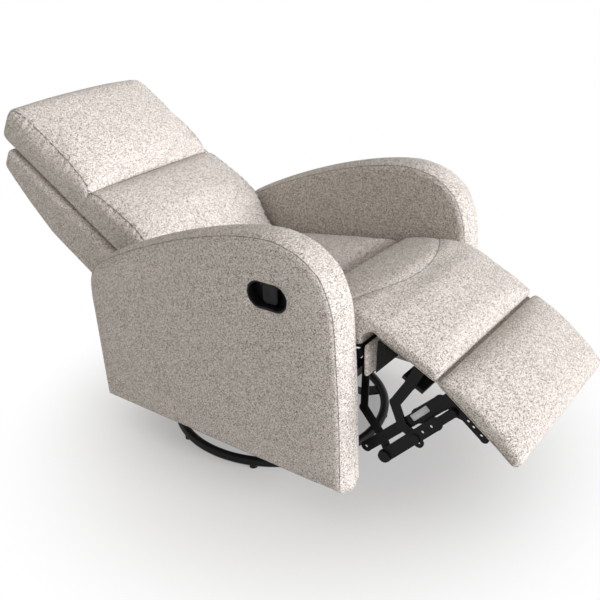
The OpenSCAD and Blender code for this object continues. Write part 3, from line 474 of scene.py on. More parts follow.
# %% Let a cover swell
swell_frames = 14


def coordinates(mesh, what="co"):
    values = np.empty(len(mesh.vertices) * 3, np.float32)
    mesh.vertices.foreach_get(what, values)
    return values.reshape(-1, 3).astype(float)


def put_back(mesh, points):
    mesh.vertices.foreach_set("co", points.ravel())
    mesh.update()


def finished(soft):
    """The piece as its modifiers leave it."""
    return soft.evaluated_get(bpy.context.evaluated_depsgraph_get())


def swell(soft, cap, held):
    """Blows a cover up. cap is the furthest a point may move, held says which points stay."""
    start = coordinates(soft.data)
    pins = soft.vertex_groups.new(name="held")
    pins.add([int(i) for i in np.nonzero(held(start))[0]], 1.0, "REPLACE")
    cloth = soft.modifiers.new("Cloth", "CLOTH")
    cloth.settings.quality = 5
    cloth.settings.mass = 0.3
    cloth.settings.tension_stiffness = cloth.settings.compression_stiffness = 30
    cloth.settings.bending_stiffness = 1.0
    cloth.settings.use_pressure = True
    cloth.settings.uniform_pressure_force = 2.0
    cloth.settings.effector_weights.gravity = 0
    cloth.settings.vertex_group_mass = "held"
    cloth.point_cache.frame_end = swell_frames
    for moment in range(1, swell_frames + 1):
        scene.frame_set(moment)
    move = coordinates(finished(soft).data) - start
    soft.modifiers.remove(cloth)
    soft.vertex_groups.clear()
    scene.frame_set(1)
    length = np.linalg.norm(move, axis=1, keepdims=True)
    move *= cap * np.tanh(length / cap) / np.maximum(length, 1e-9)
    put_back(soft.data, start + move)
    print(soft.name, "swelled", round(float(length.max()) / MM, 1), "mm, kept under", round(cap / MM, 1))


def smooth_once(soft):
    sub = soft.modifiers.new("Subdivision", "SUBSURF")
    sub.levels = sub.render_levels = 1


def applied(soft):
    """Works the modifiers of a piece into its mesh."""
    mesh = bpy.data.meshes.new_from_object(finished(soft))
    soft.modifiers.clear()
    soft.data = mesh


def base_held(plane, height):
    """Holds the points that lie lower than a height above a plane."""
    return lambda points: (points - np.array(plane.origin)) @ np.array(plane.square) < height


print("each cover swells for", swell_frames, "frames")

# %% [markdown]
# Every panel of a cover is sewn to the next, and the seam reads as a thin dark line that the
# cloth dips into. It could be painted or bumped, but then it is gone in the bare mesh, and the
# covers' squares are far too large to model it in them. So a seam is a fine thread of its own,
# laid on the finished surface: each of its points goes to the nearest point of the cover. Its
# yarn is darkened, as painted shade for the crease.

# %% Seams
thread_radius = 0.0011
thread_sides = 6


def thread(name, path, body, radius=thread_radius):
    """A fine tube along a path."""
    path = [Vector(p) for p in path]
    points = []
    for i, p in enumerate(path):
        run = (path[min(i + 1, len(path) - 1)] - path[max(i - 1, 0)]).normalized()
        across = run.cross(Vector((0.13, 0.31, 0.94))).normalized()
        up = run.cross(across)
        for k in range(thread_sides):
            a = 2 * math.pi * k / thread_sides
            points.append(p + across * math.cos(a) * radius + up * math.sin(a) * radius)
    # The thread's finish is the darkened yarn, as painted shade for the seam's crease.
    return piece(name, points, capped_wall(len(path), thread_sides), body, seam_shade_finish)


def seam(name, soft, path, body, radius=thread_radius, sink=0.0004):
    surface = BVHTree.FromObject(soft, bpy.context.evaluated_depsgraph_get())
    laid = []
    for p in path:
        spot, normal = surface.find_nearest(Vector(p))[:2]
        laid.append(spot - normal * sink)
    return thread(name, laid, body, radius)


print("a seam is", 2 * thread_radius / MM, "mm wide")

# %% [markdown]
# The back has one cover with two filled chambers. The lumbar chamber is thick over the small of
# the back and thins to a sewn valley, where the headrest begins and swells again. Two separate
# cushions would leave a deep groove round each, and the real boxing at the sides runs past the
# valley in one piece. So one cushion gets a profile with a valley, and a crown for each chamber.

# %% Outline of the back cover
back_half = 0.2465
back_start, back_end = -0.0425, 0.6635
shell_face = 0.0033
valley = 0.2993
valley_height = 0.091
valley_pull, valley_reach = 0.007, 0.006
lumbar_rise, headrest_rise = 0.036, 0.038
lumbar_over = profile([
    (-0.043, 0.048), (0.005, 0.057), (0.02, 0.064), (0.045, 0.082), (0.08, 0.103), (0.13, 0.113),
    (0.21, 0.108), (0.265, 0.103), (0.285, 0.099), (valley, valley_height),
])
headrest_over = profile([
    (valley, valley_height), (0.314, 0.101), (0.34, 0.108), (0.40, 0.116), (0.50, 0.120), (0.58, 0.119),
    (0.61, 0.117), (0.628, 0.112), (0.647, 0.104), (0.657, 0.094), (0.664, 0.080),
])
headrest_under = profile([
    (0, shell_face), (0.622, shell_face), (0.644, 0.008), (0.657, 0.017), (0.664, 0.028),
])


def back_over(s):
    """The height of the cover over the shell's face. A sewn line pulls it down at the valley."""
    height = lumbar_over(s) if s < valley else headrest_over(s)
    return height - valley_pull * math.exp(-((s - valley) / valley_reach) ** 2)


def back_crown(s):
    """How far each filled chamber stands above its sides."""
    lumbar, headrest = (back_start, valley, lumbar_rise), (valley, back_end, headrest_rise)
    first, last, rise = lumbar if s < valley else headrest
    return rise * (1 - (2 * (s - first) / (last - first) - 1) ** 4)


def back_held(points):
    """Holds the base, and the sewn line of the valley between the side seams."""
    out = []
    for p in points:
        s, n = back.find(p)
        sewn = abs(s - valley) < 0.010 and abs(p[0]) < back_half - 0.03
        out.append(n < shell_face + 0.03 or sewn)
    return np.array(out)


print("the back cover is", round((back_end - back_start) / MM), "mm long")

# %% [markdown]
# Where a soft panel is sewn to a firm boxing, its edge is a little longer than the seam, and
# gathers in short folds. A much finer simulation could make them, but it would be slow and hard to
# steer. Short waves along the seam, with a groove in the middle, are quick and can be set.

# %% Gathers beside a seam
seam_inset = 0.011
gather_depth, gather_length, gather_reach = 0.0021, 0.018, 0.022
groove_depth, groove_reach = 0.0012, 0.006
uneven_by, uneven_rate, left_lead = 1.7, 71.0, 0.9


def gather(soft, plane, half, over):
    """Gathers the cloth into short folds along the two side seams of a cushion."""
    at, normals = coordinates(soft.data), coordinates(soft.data, "normal")
    for k, p in enumerate(at):
        s, n = plane.find(p)
        away = math.hypot(half - seam_inset - abs(p[0]), n - over(s) - 0.002)
        turn = 2 * math.pi * s / gather_length + uneven_by * math.sin(s * uneven_rate)
        wave = math.sin(turn + (left_lead if p[0] > 0 else 0.0))
        fold = gather_depth * wave * math.exp(-(away / gather_reach) ** 2)
        at[k] += normals[k] * (fold - groove_depth * math.exp(-(away / groove_reach) ** 2))
    put_back(soft.data, at)


print("a fold every", round(gather_length / MM), "mm along the seam")

# %% [markdown]
# The back cover now takes the steps that the cushions share. It is bent to its profiles, swells
# until the held points stop it, and is divided once more, and then its sides are gathered. Seams
# could be drawn first, but they would sink into the cloth as it swells. So the threads come last
# and lie on the surface as it ends up.

# %% Back cover
SIDES = (("right", -1), ("left", 1))
back_cover = cushion("back_cover", "back", back, back_half, back_start, back_end, headrest_under, back_over,
                     edge=0.026, draw=0.005, crown_at=back_crown, fall=2.6, corner=0.032)
swell(back_cover, 0.009, held=back_held)
smooth_once(back_cover)
applied(back_cover)
gather(back_cover, back, back_half, back_over)
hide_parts("lumbar_cushion", "headrest_cushion")
seam_run = np.linspace(-0.02, 0.640, 60)
for word, side in SIDES:
    path = [back.at(side * (back_half - seam_inset), s, back_over(s) + 0.006) for s in seam_run]
    seam(f"back_seam_{word}", back_cover, path, "back")
valley_half = back_half - 0.008
valley_run = np.linspace(-valley_half, valley_half, 60)
valley_path = [back.at(x, valley, back_over(valley) + 0.004) for x in valley_run]
seam("valley_seam", back_cover, valley_path, "back", radius=0.0018)
print("back cover points", len(back_cover.data.vertices))

# %% [markdown]
# Behind the cushions stands a padded shell, deep at its lower half and a little wider, so that it
# hides the brackets. It holds a board, so it stays flat where a cushion would crown, and it needs
# no simulation: the same box skin with no crown does, with its foot cut back at a slant.

# %% Back shell
shell_half = 0.2572
shell_start, shell_end, shell_heel, heel_from = -0.1175, 0.605, 0.079, -0.03
shell_depth = profile([(-0.118, -0.126), (0.364, -0.120), (0.47, -0.096), (0.55, -0.072), (0.606, -0.052)])
shell = cushion("shell_cover", "back", back, shell_half, shell_start, shell_end, shell_depth,
                lambda s: shell_face - 0.0006, edge=0.018, step=0.014)
shell_points = coordinates(shell.data)
for k, p in enumerate(shell_points):
    s, n = back.find(p)
    up = (n - shell_depth(s)) / (shell_face - shell_depth(s))
    lift = max(0.0, shell_heel * up - (s - shell_start)) if s < heel_from else 0.0
    shell_points[k] += np.array(back.along) * lift
put_back(shell.data, shell_points)
smooth_once(shell)
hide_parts("back_shell")
inset = 0.010
side_run = np.linspace(-0.02, 0.58, 60)
outside = [(-shell_half + inset, s) for s in side_run]
outside += [(x, 0.5965) for x in np.linspace(-shell_half + 3 * inset, shell_half - 3 * inset, 60)]
outside += [(shell_half - inset, s) for s in side_run[::-1]]
seam("shell_seam", shell, [back.at(x, s, shell_depth(s) - 0.002) for x, s in outside], "back")
print("shell points", len(shell_points))

# %% [markdown]
# The seat's main cushion is a block of foam with a low crown, from the back to a crease across
# the seat. It could be one piece with the roll in front, as they touch, but then the crease would
# have to be carved in. Two pieces that meet make it by themselves. The rear end is worked out from
# the back's pivot, less the room in which the back swings.

# %% Seat cushion
seat_half = 0.2555
roll_end = 0.186
back_swing = 0.086
seat_end = (back_pivot.y - seat_front.y - back_swing) / math.cos(math.radians(seat_drop))
seat_low, seat_top = 0.0004, 0.0758
main = cushion("seat_cover", "carriage", seat, seat_half, roll_end + 0.0007, seat_end, lambda s: seat_low,
               lambda s: seat_top, edge=0.022, draw=0.002, crown=0.023)
swell(main, 0.004, held=base_held(seat, 0.035))
smooth_once(main)
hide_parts("seat_cushion")
print("seat ends at", round(seat_end, 4))

# %% [markdown]
# In front of the crease the seat and the footrest share one cover. A roll shaped like a half
# moon is sewn to a long panel that runs over the front edge and down the leg pad. Two cushions
# would leave a gap when the leg turns. So two side outlines, one of the cover and one of its
# underside, are swept across the chair, and the box skin is mapped between them.

# %% Side outlines of the footrest cover
pad_half = 0.2518
pad_low, pad_crown, roll_crown = 0.0212, 0.024, 0.017
roll_start = 0.1853
leg_end = leg_len - 0.0004


def through(points, steps):
    """A smooth curve through the points. Each stretch is bent by the points next to it."""
    p = [np.array(q, float) for q in points]
    out = []
    for i in range(len(p) - 1):
        a, b, c, d = p[max(i - 1, 0)], p[i], p[i + 1], p[min(i + 2, len(p) - 1)]
        for k in range(steps):
            t = k / steps
            bend = (2 * a - 5 * b + 4 * c - d) * t ** 2 + (3 * b - a - 3 * c + d) * t ** 3
            out.append(0.5 * (2 * b + (c - a) * t + bend))
    return out + [p[-1]]


def distances(path):
    """How far along the path each of its points lies."""
    return np.concatenate([[0], np.cumsum(np.linalg.norm(np.diff(path, axis=0), axis=1))])


def side_points(plane, places):
    return [(-y, z) for _, y, z in (plane.at(0, s, n) for s, n in places)]


cover_top = side_points(seat, [
    (roll_start, 0.076), (0.155, 0.081), (0.11, 0.084), (0.06, 0.084), (0.02, 0.081), (-0.016, 0.073),
])
cover_top += side_points(leg, [(0.012, 0.052), (0.06, 0.0505), (0.11, 0.050), (leg_end, 0.0455)])
cover_under = side_points(seat, [(s, 0.0005) for s in (roll_start, 0.12, 0.06, 0.02, 0.009)])
cover_under += side_points(seat, [(0.0075, 0.012), (0.003, 0.026)])
cover_under += side_points(leg, [(-0.008, 0.0225)] + [(s, pad_low) for s in (0.01, 0.06, 0.11, leg_end)])


def read_along(points):
    """A function that gives the curve's point at a share of its length, from 0 to 1."""
    smooth = np.array(through(points, 6))
    far = distances(smooth)
    return lambda t: np.array([np.interp(t * far[-1], far, smooth[:, k]) for k in (0, 1)])


top_at, under_at = read_along(cover_top), read_along(cover_under)
cover_length = float(distances(np.array(through(cover_top, 6)))[-1])
print("footrest cover is", round(cover_length, 3), "m long over its top")

# %% [markdown]
# The half moon is cut with a round front edge, so its seam bows across the cover, and the cloth
# dips to it. The crown is made of two parts that fade into each other over the front edge, one
# for the roll and one for the leg pad.

# %% Crown and seam of the footrest cover
seam_nose, seam_bow = 0.198, 0.088
dip_depth, dip_reach = 0.0035, 0.007


def cover_crown(x, t):
    """How far the cover stands above its edges, at x and at a share t of its length."""
    roll = roll_crown * ease(t * 7) * (1 - ease((t - 0.42) / 0.14))
    pad = pad_crown * ease((t - 0.46) / 0.16) * (1 - ease((t - 0.86) / 0.14) ** 2)
    return (roll + pad) * (1 - min(abs(x / pad_half), 1) ** 3)


def seam_place(x):
    """Where the half moon's seam crosses the cover, as a share of its length."""
    return (seam_nose - seam_bow * (x / seat_half) ** 2) / cover_length


def seam_dip(x, t):
    away = (t - seam_place(x)) * cover_length
    return dip_depth * math.exp(-(away / dip_reach) ** 2)


def footrest_cover():
    size = (seat_half, cover_length / 2, 0.026)
    skin, faces = box_skin(size, 0.010)
    points = []
    for x, s, n in rolled(skin, size, 0.0105):
        t = s / cover_length + 0.5
        up = (n + size[2]) / (2 * size[2])
        wide = seat_half + (pad_half - seat_half) * ease((t - 0.35) / 0.2)
        px = x * wide / seat_half
        low, high = under_at(t), top_at(t)
        square = (high - low) / np.linalg.norm(high - low)
        u, z = low + (high - low) * up + square * cover_crown(px, t) * up
        dip = seam_dip(px, t) * max(0.0, 2 * up - 1)
        points.append((px, -(u - square[0] * dip), z - square[1] * dip))
    return piece("footrest_cover", points, faces, None, cover)


print("the half moon is", seam_nose / MM, "mm deep at its middle")

# %% [markdown]
# The cover crosses the footrest's hinge. It could be cut there, but the cut would gape. So it is
# one piece, which rides on no body: its outline follows the seat before the hinge and the leg
# rest after it, and turns smoothly between. The bend lies across a short run, which slopes
# between the seat and the leg rest.


def underside_held(points):
    """Holds the points near the boards, on the leg rest and on the seat."""
    on_leg, on_seat = base_held(leg, 0.034)(points), base_held(seat, 0.04)(points)
    before = np.array([leg.find(p)[0] <= 0 for p in points])
    return np.where(before, on_seat, on_leg)


leg_cover = footrest_cover()
swell(leg_cover, 0.004, held=underside_held)
smooth_once(leg_cover)
half_moon_path = []
for x in np.linspace(-0.243, 0.243, 70):
    u, z = top_at(seam_place(x))
    half_moon_path.append((x, -u, z + cover_crown(x, seam_place(x))))
half_moon = seam("half_moon_seam", leg_cover, half_moon_path, None)
for soft in (leg_cover, half_moon):
    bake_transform(soft)
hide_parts("seat_front_roll", "front_apron", "leg_pad")
print("footrest cover points", len(leg_cover.data.vertices))

# %% [markdown]
# The ottoman pad carries the heels: thick soft filling on a board, with a tight boxing below. It
# could share the leg pad's cover, but in the photograph a deep valley parts them. So it is a
# cushion of its own, with small radii at its edges and a high crown.

# %% Ottoman pad
ottoman_over = profile([
    (0, 0.046), (0.02, 0.051), (0.05, 0.056), (0.10, 0.060), (0.18, 0.058), (0.22, 0.053), (0.238, 0.047),
])
ottoman_pad = cushion("ottoman_pad_cover", "ottoman", ottoman, pad_half, 0.0006, 0.2372, lambda s: pad_low,
                      ottoman_over, edge=0.0105, draw=0.002, crown=0.028, corner=0.012, step=0.009)
swell(ottoman_pad, 0.003, held=base_held(ottoman, pad_low + 0.012))
smooth_once(ottoman_pad)
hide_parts("ottoman_pad")
print("ottoman pad points", len(ottoman_pad.data.vertices))

# %% [markdown]
# Along both sides of the two pads the top panel is sewn to the band that wraps the board. One
# long thread over both pads would have to cross the valley and bend there. So each pad gets its
# own, which stops short of the valley and rides on the pad's own body.

# %% Seams along the pads' sides
pads = (
    ("leg", leg_cover, leg, "leg_rest", 0.030, leg_end - 0.008),
    ("ottoman", ottoman_pad, ottoman, "ottoman", 0.010, 0.228),
)
for word, side in SIDES:
    for name, soft, plane, body, start, end in pads:
        run = np.linspace(start, end, 40)
        path = [plane.at(side * (pad_half + 0.004), s, pad_low + 0.0075) for s in run]
        seam(f"{name}_seam_{word}", soft, path, body)
print("pads with side seams", [name for name, *rest in pads])

# %% [markdown]
# Strips of cloth close the gaps between padded pieces that turn. They could be simulated, but they
# are only a few centimetres deep and held at both edges, so there is little for them to do. Each
# one is modelled directly, as a sheet with a front and a back, through a few rows of points.

# %% Cloth between two pieces
def cloth_strip(name, rows, lift, finish):
    """A sheet through rows of points, as thick as the vector lift is long."""
    count, deep = len(rows[0]), len(rows)
    near = [Vector(p) for line in rows for p in line]
    far = len(near)
    faces = []
    for a in (k * count + i for k in range(deep - 1) for i in range(count - 1)):
        faces.append((a, a + 1, a + count + 1, a + count))
        faces.append(tuple(far + q for q in (a, a + count, a + count + 1, a + 1)))
    rim = list(range(count)) + [k * count + count - 1 for k in range(1, deep)]
    rim += [(deep - 1) * count + i for i in range(count - 2, -1, -1)]
    rim += [k * count for k in range(deep - 2, 0, -1)]
    faces += [(a, b, far + b, far + a) for a, b in zip(rim, rim[1:] + rim[:1])]
    return piece(name, near + [p + Vector(lift) for p in near], faces, None, finish)


def area_of(rows):
    grid = np.array(rows)
    across, along = grid[:-1, 1:] - grid[:-1, :-1], grid[1:, :-1] - grid[:-1, :-1]
    return float(np.linalg.norm(np.cross(across, along), axis=2).sum())


print("2 by 2 squares measure", area_of([[(x, y, 0) for x in range(3)] for y in range(3)]))

# %% [markdown]
# The valley between the leg pad and the ottoman is lined with the cover's own cloth. It could be
# left open, but then the boards would show in it. The strip is stretched from one pad to the
# other, and rides on no body.

# %% Valley between the footrest pads
strip_half = pad_half - 0.004
strip_sag = [(0.020, 0.0222), (0.008, 0.0230), (0.001, 0.0245)]
strip_places = [(leg, leg_len - away, n) for away, n in strip_sag]
strip_places += [(ottoman, away, n) for away, n in strip_sag[::-1]]
wide = np.linspace(-strip_half, strip_half, 40)
valley_rows = [[plane.at(x, s, n) for x in wide] for plane, s, n in strip_places]
valley_strip = cloth_strip("valley_strip", valley_rows, Vector(leg.square) * 0.0016, cover)
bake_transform(valley_strip)
print("valley strip", round(area_of(valley_rows), 4), "m2")

# %% [markdown]
# Beside the leg board a black web of lining cloth fills the corner between the front rail and the
# footrest, and keeps fingers out of the mechanism. It is cut as a wedge that widens down from
# its tip. A flat face would look like sheet metal, so the rows give it a slight bow.

# %% Black webs beside the leg board
black_cloth = tweed("black_lining_cloth", (0.020, 0.020, 0.021), (0.004, 0.004, 0.004), loops=1100.0)
web_x = 0.225
web_tip, web_front, web_foot = (0.455, 0.4605), (0.508, 0.4355), (0.4515, 0.371)
web_bow = 0.005


def web_row(side, t):
    """A row of the web, a share t of the way down from its tip."""
    fore = [a + (b - a) * t for a, b in zip(web_tip, web_front)]
    foot = [a + (b - a) * t for a, b in zip(web_tip, web_foot)]
    row = []
    for q in np.linspace(0, 1, 9):
        u, z = (a + (b - a) * q for a, b in zip(foot, fore))
        row.append((side * (web_x + web_bow * t * math.sin(math.pi * q)), -u, z))
    return row


for word, side in SIDES:
    web_rows = [web_row(side, t) for t in np.linspace(0.06, 1, 9)]
    web = cloth_strip(f"lining_web_{word}", web_rows, (side * 0.0010, 0, 0), black_cloth)
    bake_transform(web)
print("each web", round(area_of(web_rows), 4), "m2")

# %% [markdown]
# Between the seat and the back a cloth hangs in a shallow fold and hides the springs. A longer
# seat cushion would hide them too, but the back would swing into it. The cloth runs from the rear
# of the seat to the foot of the back, and its fold is the slack that the swing takes up.

# %% Cloth between seat and back
fold_half, fold_sag = 0.24, 0.006
fold_wide = np.linspace(-fold_half, fold_half, 40)
seat_places = [(seat_end - 0.010, 0.050), (seat_end + 0.0012, 0.046), (seat_end + 0.012, 0.036)]
back_places = [(-0.0450, 0.026), (-0.040, 0.038)]
seat_rows = [[seat.at(x, s, n) for x in fold_wide] for s, n in seat_places]
back_rows = [[back.at(x, s, n) for x in fold_wide] for s, n in back_places]
lowest = (np.array(seat_rows[-1]) + np.array(back_rows[0])) / 2 - np.array((0, 0, fold_sag))
fold_rows = seat_rows + [[tuple(p) for p in lowest]] + back_rows
fold = cloth_strip("seat_back_cloth", fold_rows, (0, 0, -0.0016), cover)
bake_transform(fold)
print("cloth between seat and back", round(area_of(fold_rows), 4), "m2")

# %% [markdown]
# Each arm is a padded box with a boxed cover: a flat panel on each face, and one strip that runs
# up the front, over the top and down the back. A subdivided cage would round the sharp lower
# corners. So the outline is drawn as a curve through a few points, in shares of the arm's length
# and height, and rings of it, moved inwards, make the rolled edges and close the panels.

# %% Outline of an arm
arm_low, arm_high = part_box("arm_left")
arm_len, arm_rise = arm_high.y - arm_low.y, arm_high.z - arm_low.z
arm_shares = [
    (1.0, 0.0), (0.9985, 0.09), (0.998, 0.18), (0.996, 0.35), (0.988, 0.58), (0.977, 0.765),
    (0.945, 0.882), (0.916, 0.926), (0.87, 0.968), (0.81, 0.993), (0.74, 1.0), (0.62, 0.978),
    (0.46, 0.921), (0.29, 0.838), (0.13, 0.742), (0.045, 0.674), (0.01, 0.61), (0.0, 0.53),
    (0.003, 0.42), (0.010, 0.2), (0.0135, 0.1), (0.017, 0.0),
]


def evenly(path, step):
    """The same path with its points one step apart."""
    path = np.array(path)
    far = distances(path)
    at = np.linspace(0, far[-1], max(2, round(far[-1] / step)) + 1)
    return np.stack([np.interp(at, far, path[:, k]) for k in range(path.shape[1])], 1)


def arm_ring(step):
    """The arm's outline as a closed ring of points, one step apart."""
    side = [(-arm_low.y - arm_len * (1 - a), arm_low.z + arm_rise * b) for a, b in arm_shares]
    top = evenly(through(side, 10), step)
    return np.concatenate([top, evenly([top[-1], top[0]], step)[1:-1]])


ring, fine_ring = arm_ring(0.010), arm_ring(0.001)
ring_centre = ring.mean(0)


def inwards(loop, d):
    """The ring moved inwards by a distance. Points that would cross at a corner are dropped."""
    behind, ahead = loop - np.roll(loop, 1, 0), np.roll(loop, -1, 0) - loop
    behind /= np.linalg.norm(behind, axis=1, keepdims=True)
    ahead /= np.linalg.norm(ahead, axis=1, keepdims=True)
    a, b = (np.stack([-way[:, 1], way[:, 0]], 1) for way in (behind, ahead))
    moved = loop + d * (a + b) / (1 + (a * b).sum(1, keepdims=True))
    if d <= 0:
        return moved
    away = np.array([np.linalg.norm(fine_ring - p, axis=1).min() for p in moved])
    good = np.nonzero(away > 0.985 * d)[0]
    at = np.arange(len(loop))
    return np.stack([np.interp(at, good, moved[good, k], period=len(loop)) for k in (0, 1)], 1)


print("arm outline", len(ring), "points,", len(fine_ring), "where it is measured")

# %% [markdown]
# The outer panel swells a little away from its seams, as padding behind a stapled cloth does. A
# simulation would need the whole arm for a few millimetres, so a formula gives the bulge: it
# grows with the distance from the seam and then levels off.

# %% Arm covers
arm_edge = 0.018
strip_hollow, panel_bulge, bulge_reach = 0.005, 0.006, 0.085
panel_shares = (0.98, 0.95, 0.91, 0.86, 0.80, 0.72, 0.62, 0.50, 0.36, 0.22, 0.09)


def panel_rows(x, loop, out):
    """Rings that close a panel. Its middle stands out from its seam."""
    rows = []
    for share in panel_shares:
        points = ring_centre + (loop - ring_centre) * share
        depth = np.array([np.linalg.norm(loop - p, axis=1).min() for p in points])
        near = np.clip(depth / bulge_reach, 0, 1)
        rows.append((x + out * (1 - (1 - near) ** 2.2), points))
    return rows


def arm_cover(name, node, side):
    inner, outer = arm_low.x, arm_high.x
    strip = outer - inner - 2 * arm_edge
    corner = [math.radians(a) for a in (0, 18, 36, 45, 54, 72, 90)]
    rows = [(outer - arm_edge * (1 - math.cos(a)), arm_edge * (1 - math.sin(a))) for a in corner]
    hollows = [(t, -strip_hollow * math.sin(math.pi * t)) for t in (0.2, 0.4, 0.6, 0.8)]
    rows += [(outer - arm_edge - strip * t, d) for t, d in hollows]
    rows += [(inner + arm_edge * (1 - math.sin(a)), arm_edge * (1 - math.cos(a))) for a in corner]
    loops = [(np.full(len(ring), x), inwards(ring, d)) for x, d in rows]
    loops = panel_rows(outer, loops[0][1], panel_bulge)[::-1] + loops + panel_rows(inner, loops[-1][1], 0.0)
    count = len(ring)
    points = [(side * x, -u, z) for xs, loop in loops for x, (u, z) in zip(xs, loop)]
    faces = wall(len(loops), count)
    for first in (0, (len(loops) - 1) * count):
        points.append(tuple(np.array(points[first:first + count]).mean(0)))
        faces += [(first + i, first + (i + 1) % count, len(points) - 1) for i in range(count)]
    made = piece(name, points, faces, "carriage", cover)
    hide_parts(node)
    return made


arm_covers = {word: arm_cover(f"arm_{word}_cover", f"arm_{word}", side) for word, side in SIDES[::-1]}
print("arm cover points", len(arm_covers["left"].data.vertices))

# %% [markdown]
# The near arm has a pocket for the release handle. It could be modelled into the rings, but an
# oval in the middle of a panel would disturb every row. A Boolean cut with an oval prism, applied
# at once, leaves them alone, and the handle's own lip hides its edge.

# %% Pocket for the handle
bezel_low, bezel_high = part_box("release_bezel")
bezel_mid = (bezel_low + bezel_high) / 2
lip = 0.003
pocket_y = (bezel_high.y - bezel_low.y) / 2 - lip
pocket_z = (bezel_high.z - bezel_low.z) / 2 - lip
pocket_mouth, pocket_floor = -0.37, bezel_high.x + 0.0006
pocket_points = 64


def oval():
    """A level oval round the handle's middle: two half circles and the straights between."""
    out = []
    for k in range(pocket_points):
        a = 2 * math.pi * (k + 0.5) / pocket_points
        y = bezel_mid.y + math.copysign(pocket_y - pocket_z, math.cos(a)) + pocket_z * math.cos(a)
        out.append((y, bezel_mid.z + pocket_z * math.sin(a)))
    return out


prism = [(x, y, z) for x in (pocket_mouth, pocket_floor) for y, z in oval()]
cutter_mesh = bpy.data.meshes.new("pocket")
cutter_mesh.from_pydata(prism, [], capped_wall(2, pocket_points))
cutter = bpy.data.objects.new("pocket", cutter_mesh)
scene.collection.objects.link(cutter)
hollow = arm_covers["right"].modifiers.new("Pocket", "BOOLEAN")
hollow.object, hollow.operation, hollow.solver = cutter, "DIFFERENCE", "EXACT"
applied(arm_covers["right"])
bpy.data.objects.remove(cutter)
print("near arm faces after the pocket", len(arm_covers["right"].data.polygons))

# %% [markdown]
# Each panel of an arm is sewn to the strip just where the edge starts to roll. A line could be
# drawn for it by hand, but the cover's own ring gives it exactly, moved in by a share of the edge.
# The ring's last points, under the front corner, are left out to keep the thread's ends apart.

# %% Arm seams
seam_depth = arm_edge * 0.29
open_points = 6
for word, side in SIDES[::-1]:
    for face, x in (("outer", arm_high.x - seam_depth), ("inner", arm_low.x + seam_depth)):
        path = [(side * x, -u, z) for u, z in inwards(ring, seam_depth)[:-open_points]]
        seam(f"arm_{word}_{face}_seam", arm_covers[word], path, "carriage")
print("arm seams lie", round(seam_depth / MM, 1), "mm in")

# %% [markdown]
# Two boards close the box between the arms, one in front under the seat and one behind. Cloth is
# stapled round them, so they have sharp edges next to the cushions. The box skin with a small
# radius gives the wrapped look that a bevelled cube lacks.

# %% Rails
def wrapped_board(name, node, edge):
    low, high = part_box(node)
    half = tuple((high - low) / 2)
    skin, faces = box_skin(half, 0.012)
    made = piece(name, rolled(skin, half, edge) + np.array((low + high) / 2), faces, "carriage", cover)
    smooth_once(made)
    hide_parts(node)


wrapped_board("front_rail_cover", "front_rail", 0.004)
wrapped_board("rear_rail_cover", "rear_rail", 0.006)
print("rails wrapped")

# %% [markdown]
# The release paddle is moulded, with round corners and a shallow dish for the fingers. The frame
# has it as a plain hanging plate. A bevel would round its edges but leave it flat, so the box skin
# is used again, and its outer face is pushed in round the middle.

# %% Release paddle
paddle_low, paddle_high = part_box("release_paddle")
paddle_mid, paddle_half = (paddle_low + paddle_high) / 2, (paddle_high - paddle_low) / 2
paddle_edge, paddle_corner, dish_depth = 0.0028, 0.011, 0.0024
reach_y, reach_z = paddle_half.y, paddle_half.z
skin, faces = box_skin(tuple(paddle_half), 0.0022)
points = []
for x, y, z in rolled(skin, tuple(paddle_half), paddle_edge):
    y, height = round_corner(y, abs(z), reach_y, reach_z, paddle_corner)
    z = math.copysign(height, z)
    dish = dish_depth * (1 - ease(math.hypot(y / reach_y, z / reach_z) / 0.85)) if x < 0 else 0.0
    points.append((x + dish + paddle_mid.x, y + paddle_mid.y, z + paddle_mid.z))
soft_paddle = piece("release_paddle_moulded", points, faces, "paddle", black_plastic)
smooth_once(soft_paddle)
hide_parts("release_paddle")
print("paddle", [round(2 * v / MM, 1) for v in paddle_half], "mm")

# %% [markdown]
# A bare pale plate sits on the near upper bar. It is a thin slab with round corners. A bevelled
# cube would do, but an outline pushed out along x keeps its face dead flat, as sheet metal is.

# %% Plate on the upper bar
plate_mid = Vector((-0.2312, -0.5700, 0.3100))
plate_way, plate_square = Vector((0, -0.680, 0.733)), Vector((0, 0.733, 0.680))
plate_long, plate_wide, plate_thick, plate_corner = 0.056, 0.0155, 0.0006, 0.0025
corner_steps = 5


def plate_outline():
    out = []
    for sx, sy, first in ((1, 1, 0), (-1, 1, 90), (-1, -1, 180), (1, -1, 270)):
        for k in range(corner_steps + 1):
            a = math.radians(first + 90 * k / corner_steps)
            across = sx * (plate_long / 2 - plate_corner) + plate_corner * math.cos(a)
            out.append((across, sy * (plate_wide / 2 - plate_corner) + plate_corner * math.sin(a)))
    return out


outline = plate_outline()
slab = [
    plate_mid + Vector((x, 0, 0)) + plate_way * a + plate_square * b
    for x in (0, -plate_thick) for a, b in outline
]
pale_plate = coat("pale_plate", (0.56, 0.57, 0.59), 0.5, peel=300.0)
piece("pale_plate", slab, capped_wall(2, len(outline)), "upper_bars", pale_plate)
print("plate", plate_long / MM, "by", plate_wide / MM, "mm")

# %% [markdown]
# The chair stands on a pale studio floor. A bright lamp could wash the floor out to white, but it
# would wash out the cover too. So rays that look at the floor or the world, straight or in a
# reflection, see white, while light itself sees a plain surface. Near the chair less of the white
# is mixed in, so the floor's own shade shows there, and a painted shadow darkens a soft patch round
# the chair, a little forward of it.

# %% Floor
def seen_by_rays(tree):
    """1 for camera, glossy and transmission rays, and 0 for the rays that light the object."""
    camera_ray = tree.node("ShaderNodeLightPath", output="Is Camera Ray")
    glossy, passing = camera_ray.output("Is Glossy Ray"), camera_ray.output("Is Transmission Ray")
    return camera_ray.math("MAXIMUM", glossy.math("MAXIMUM", passing))
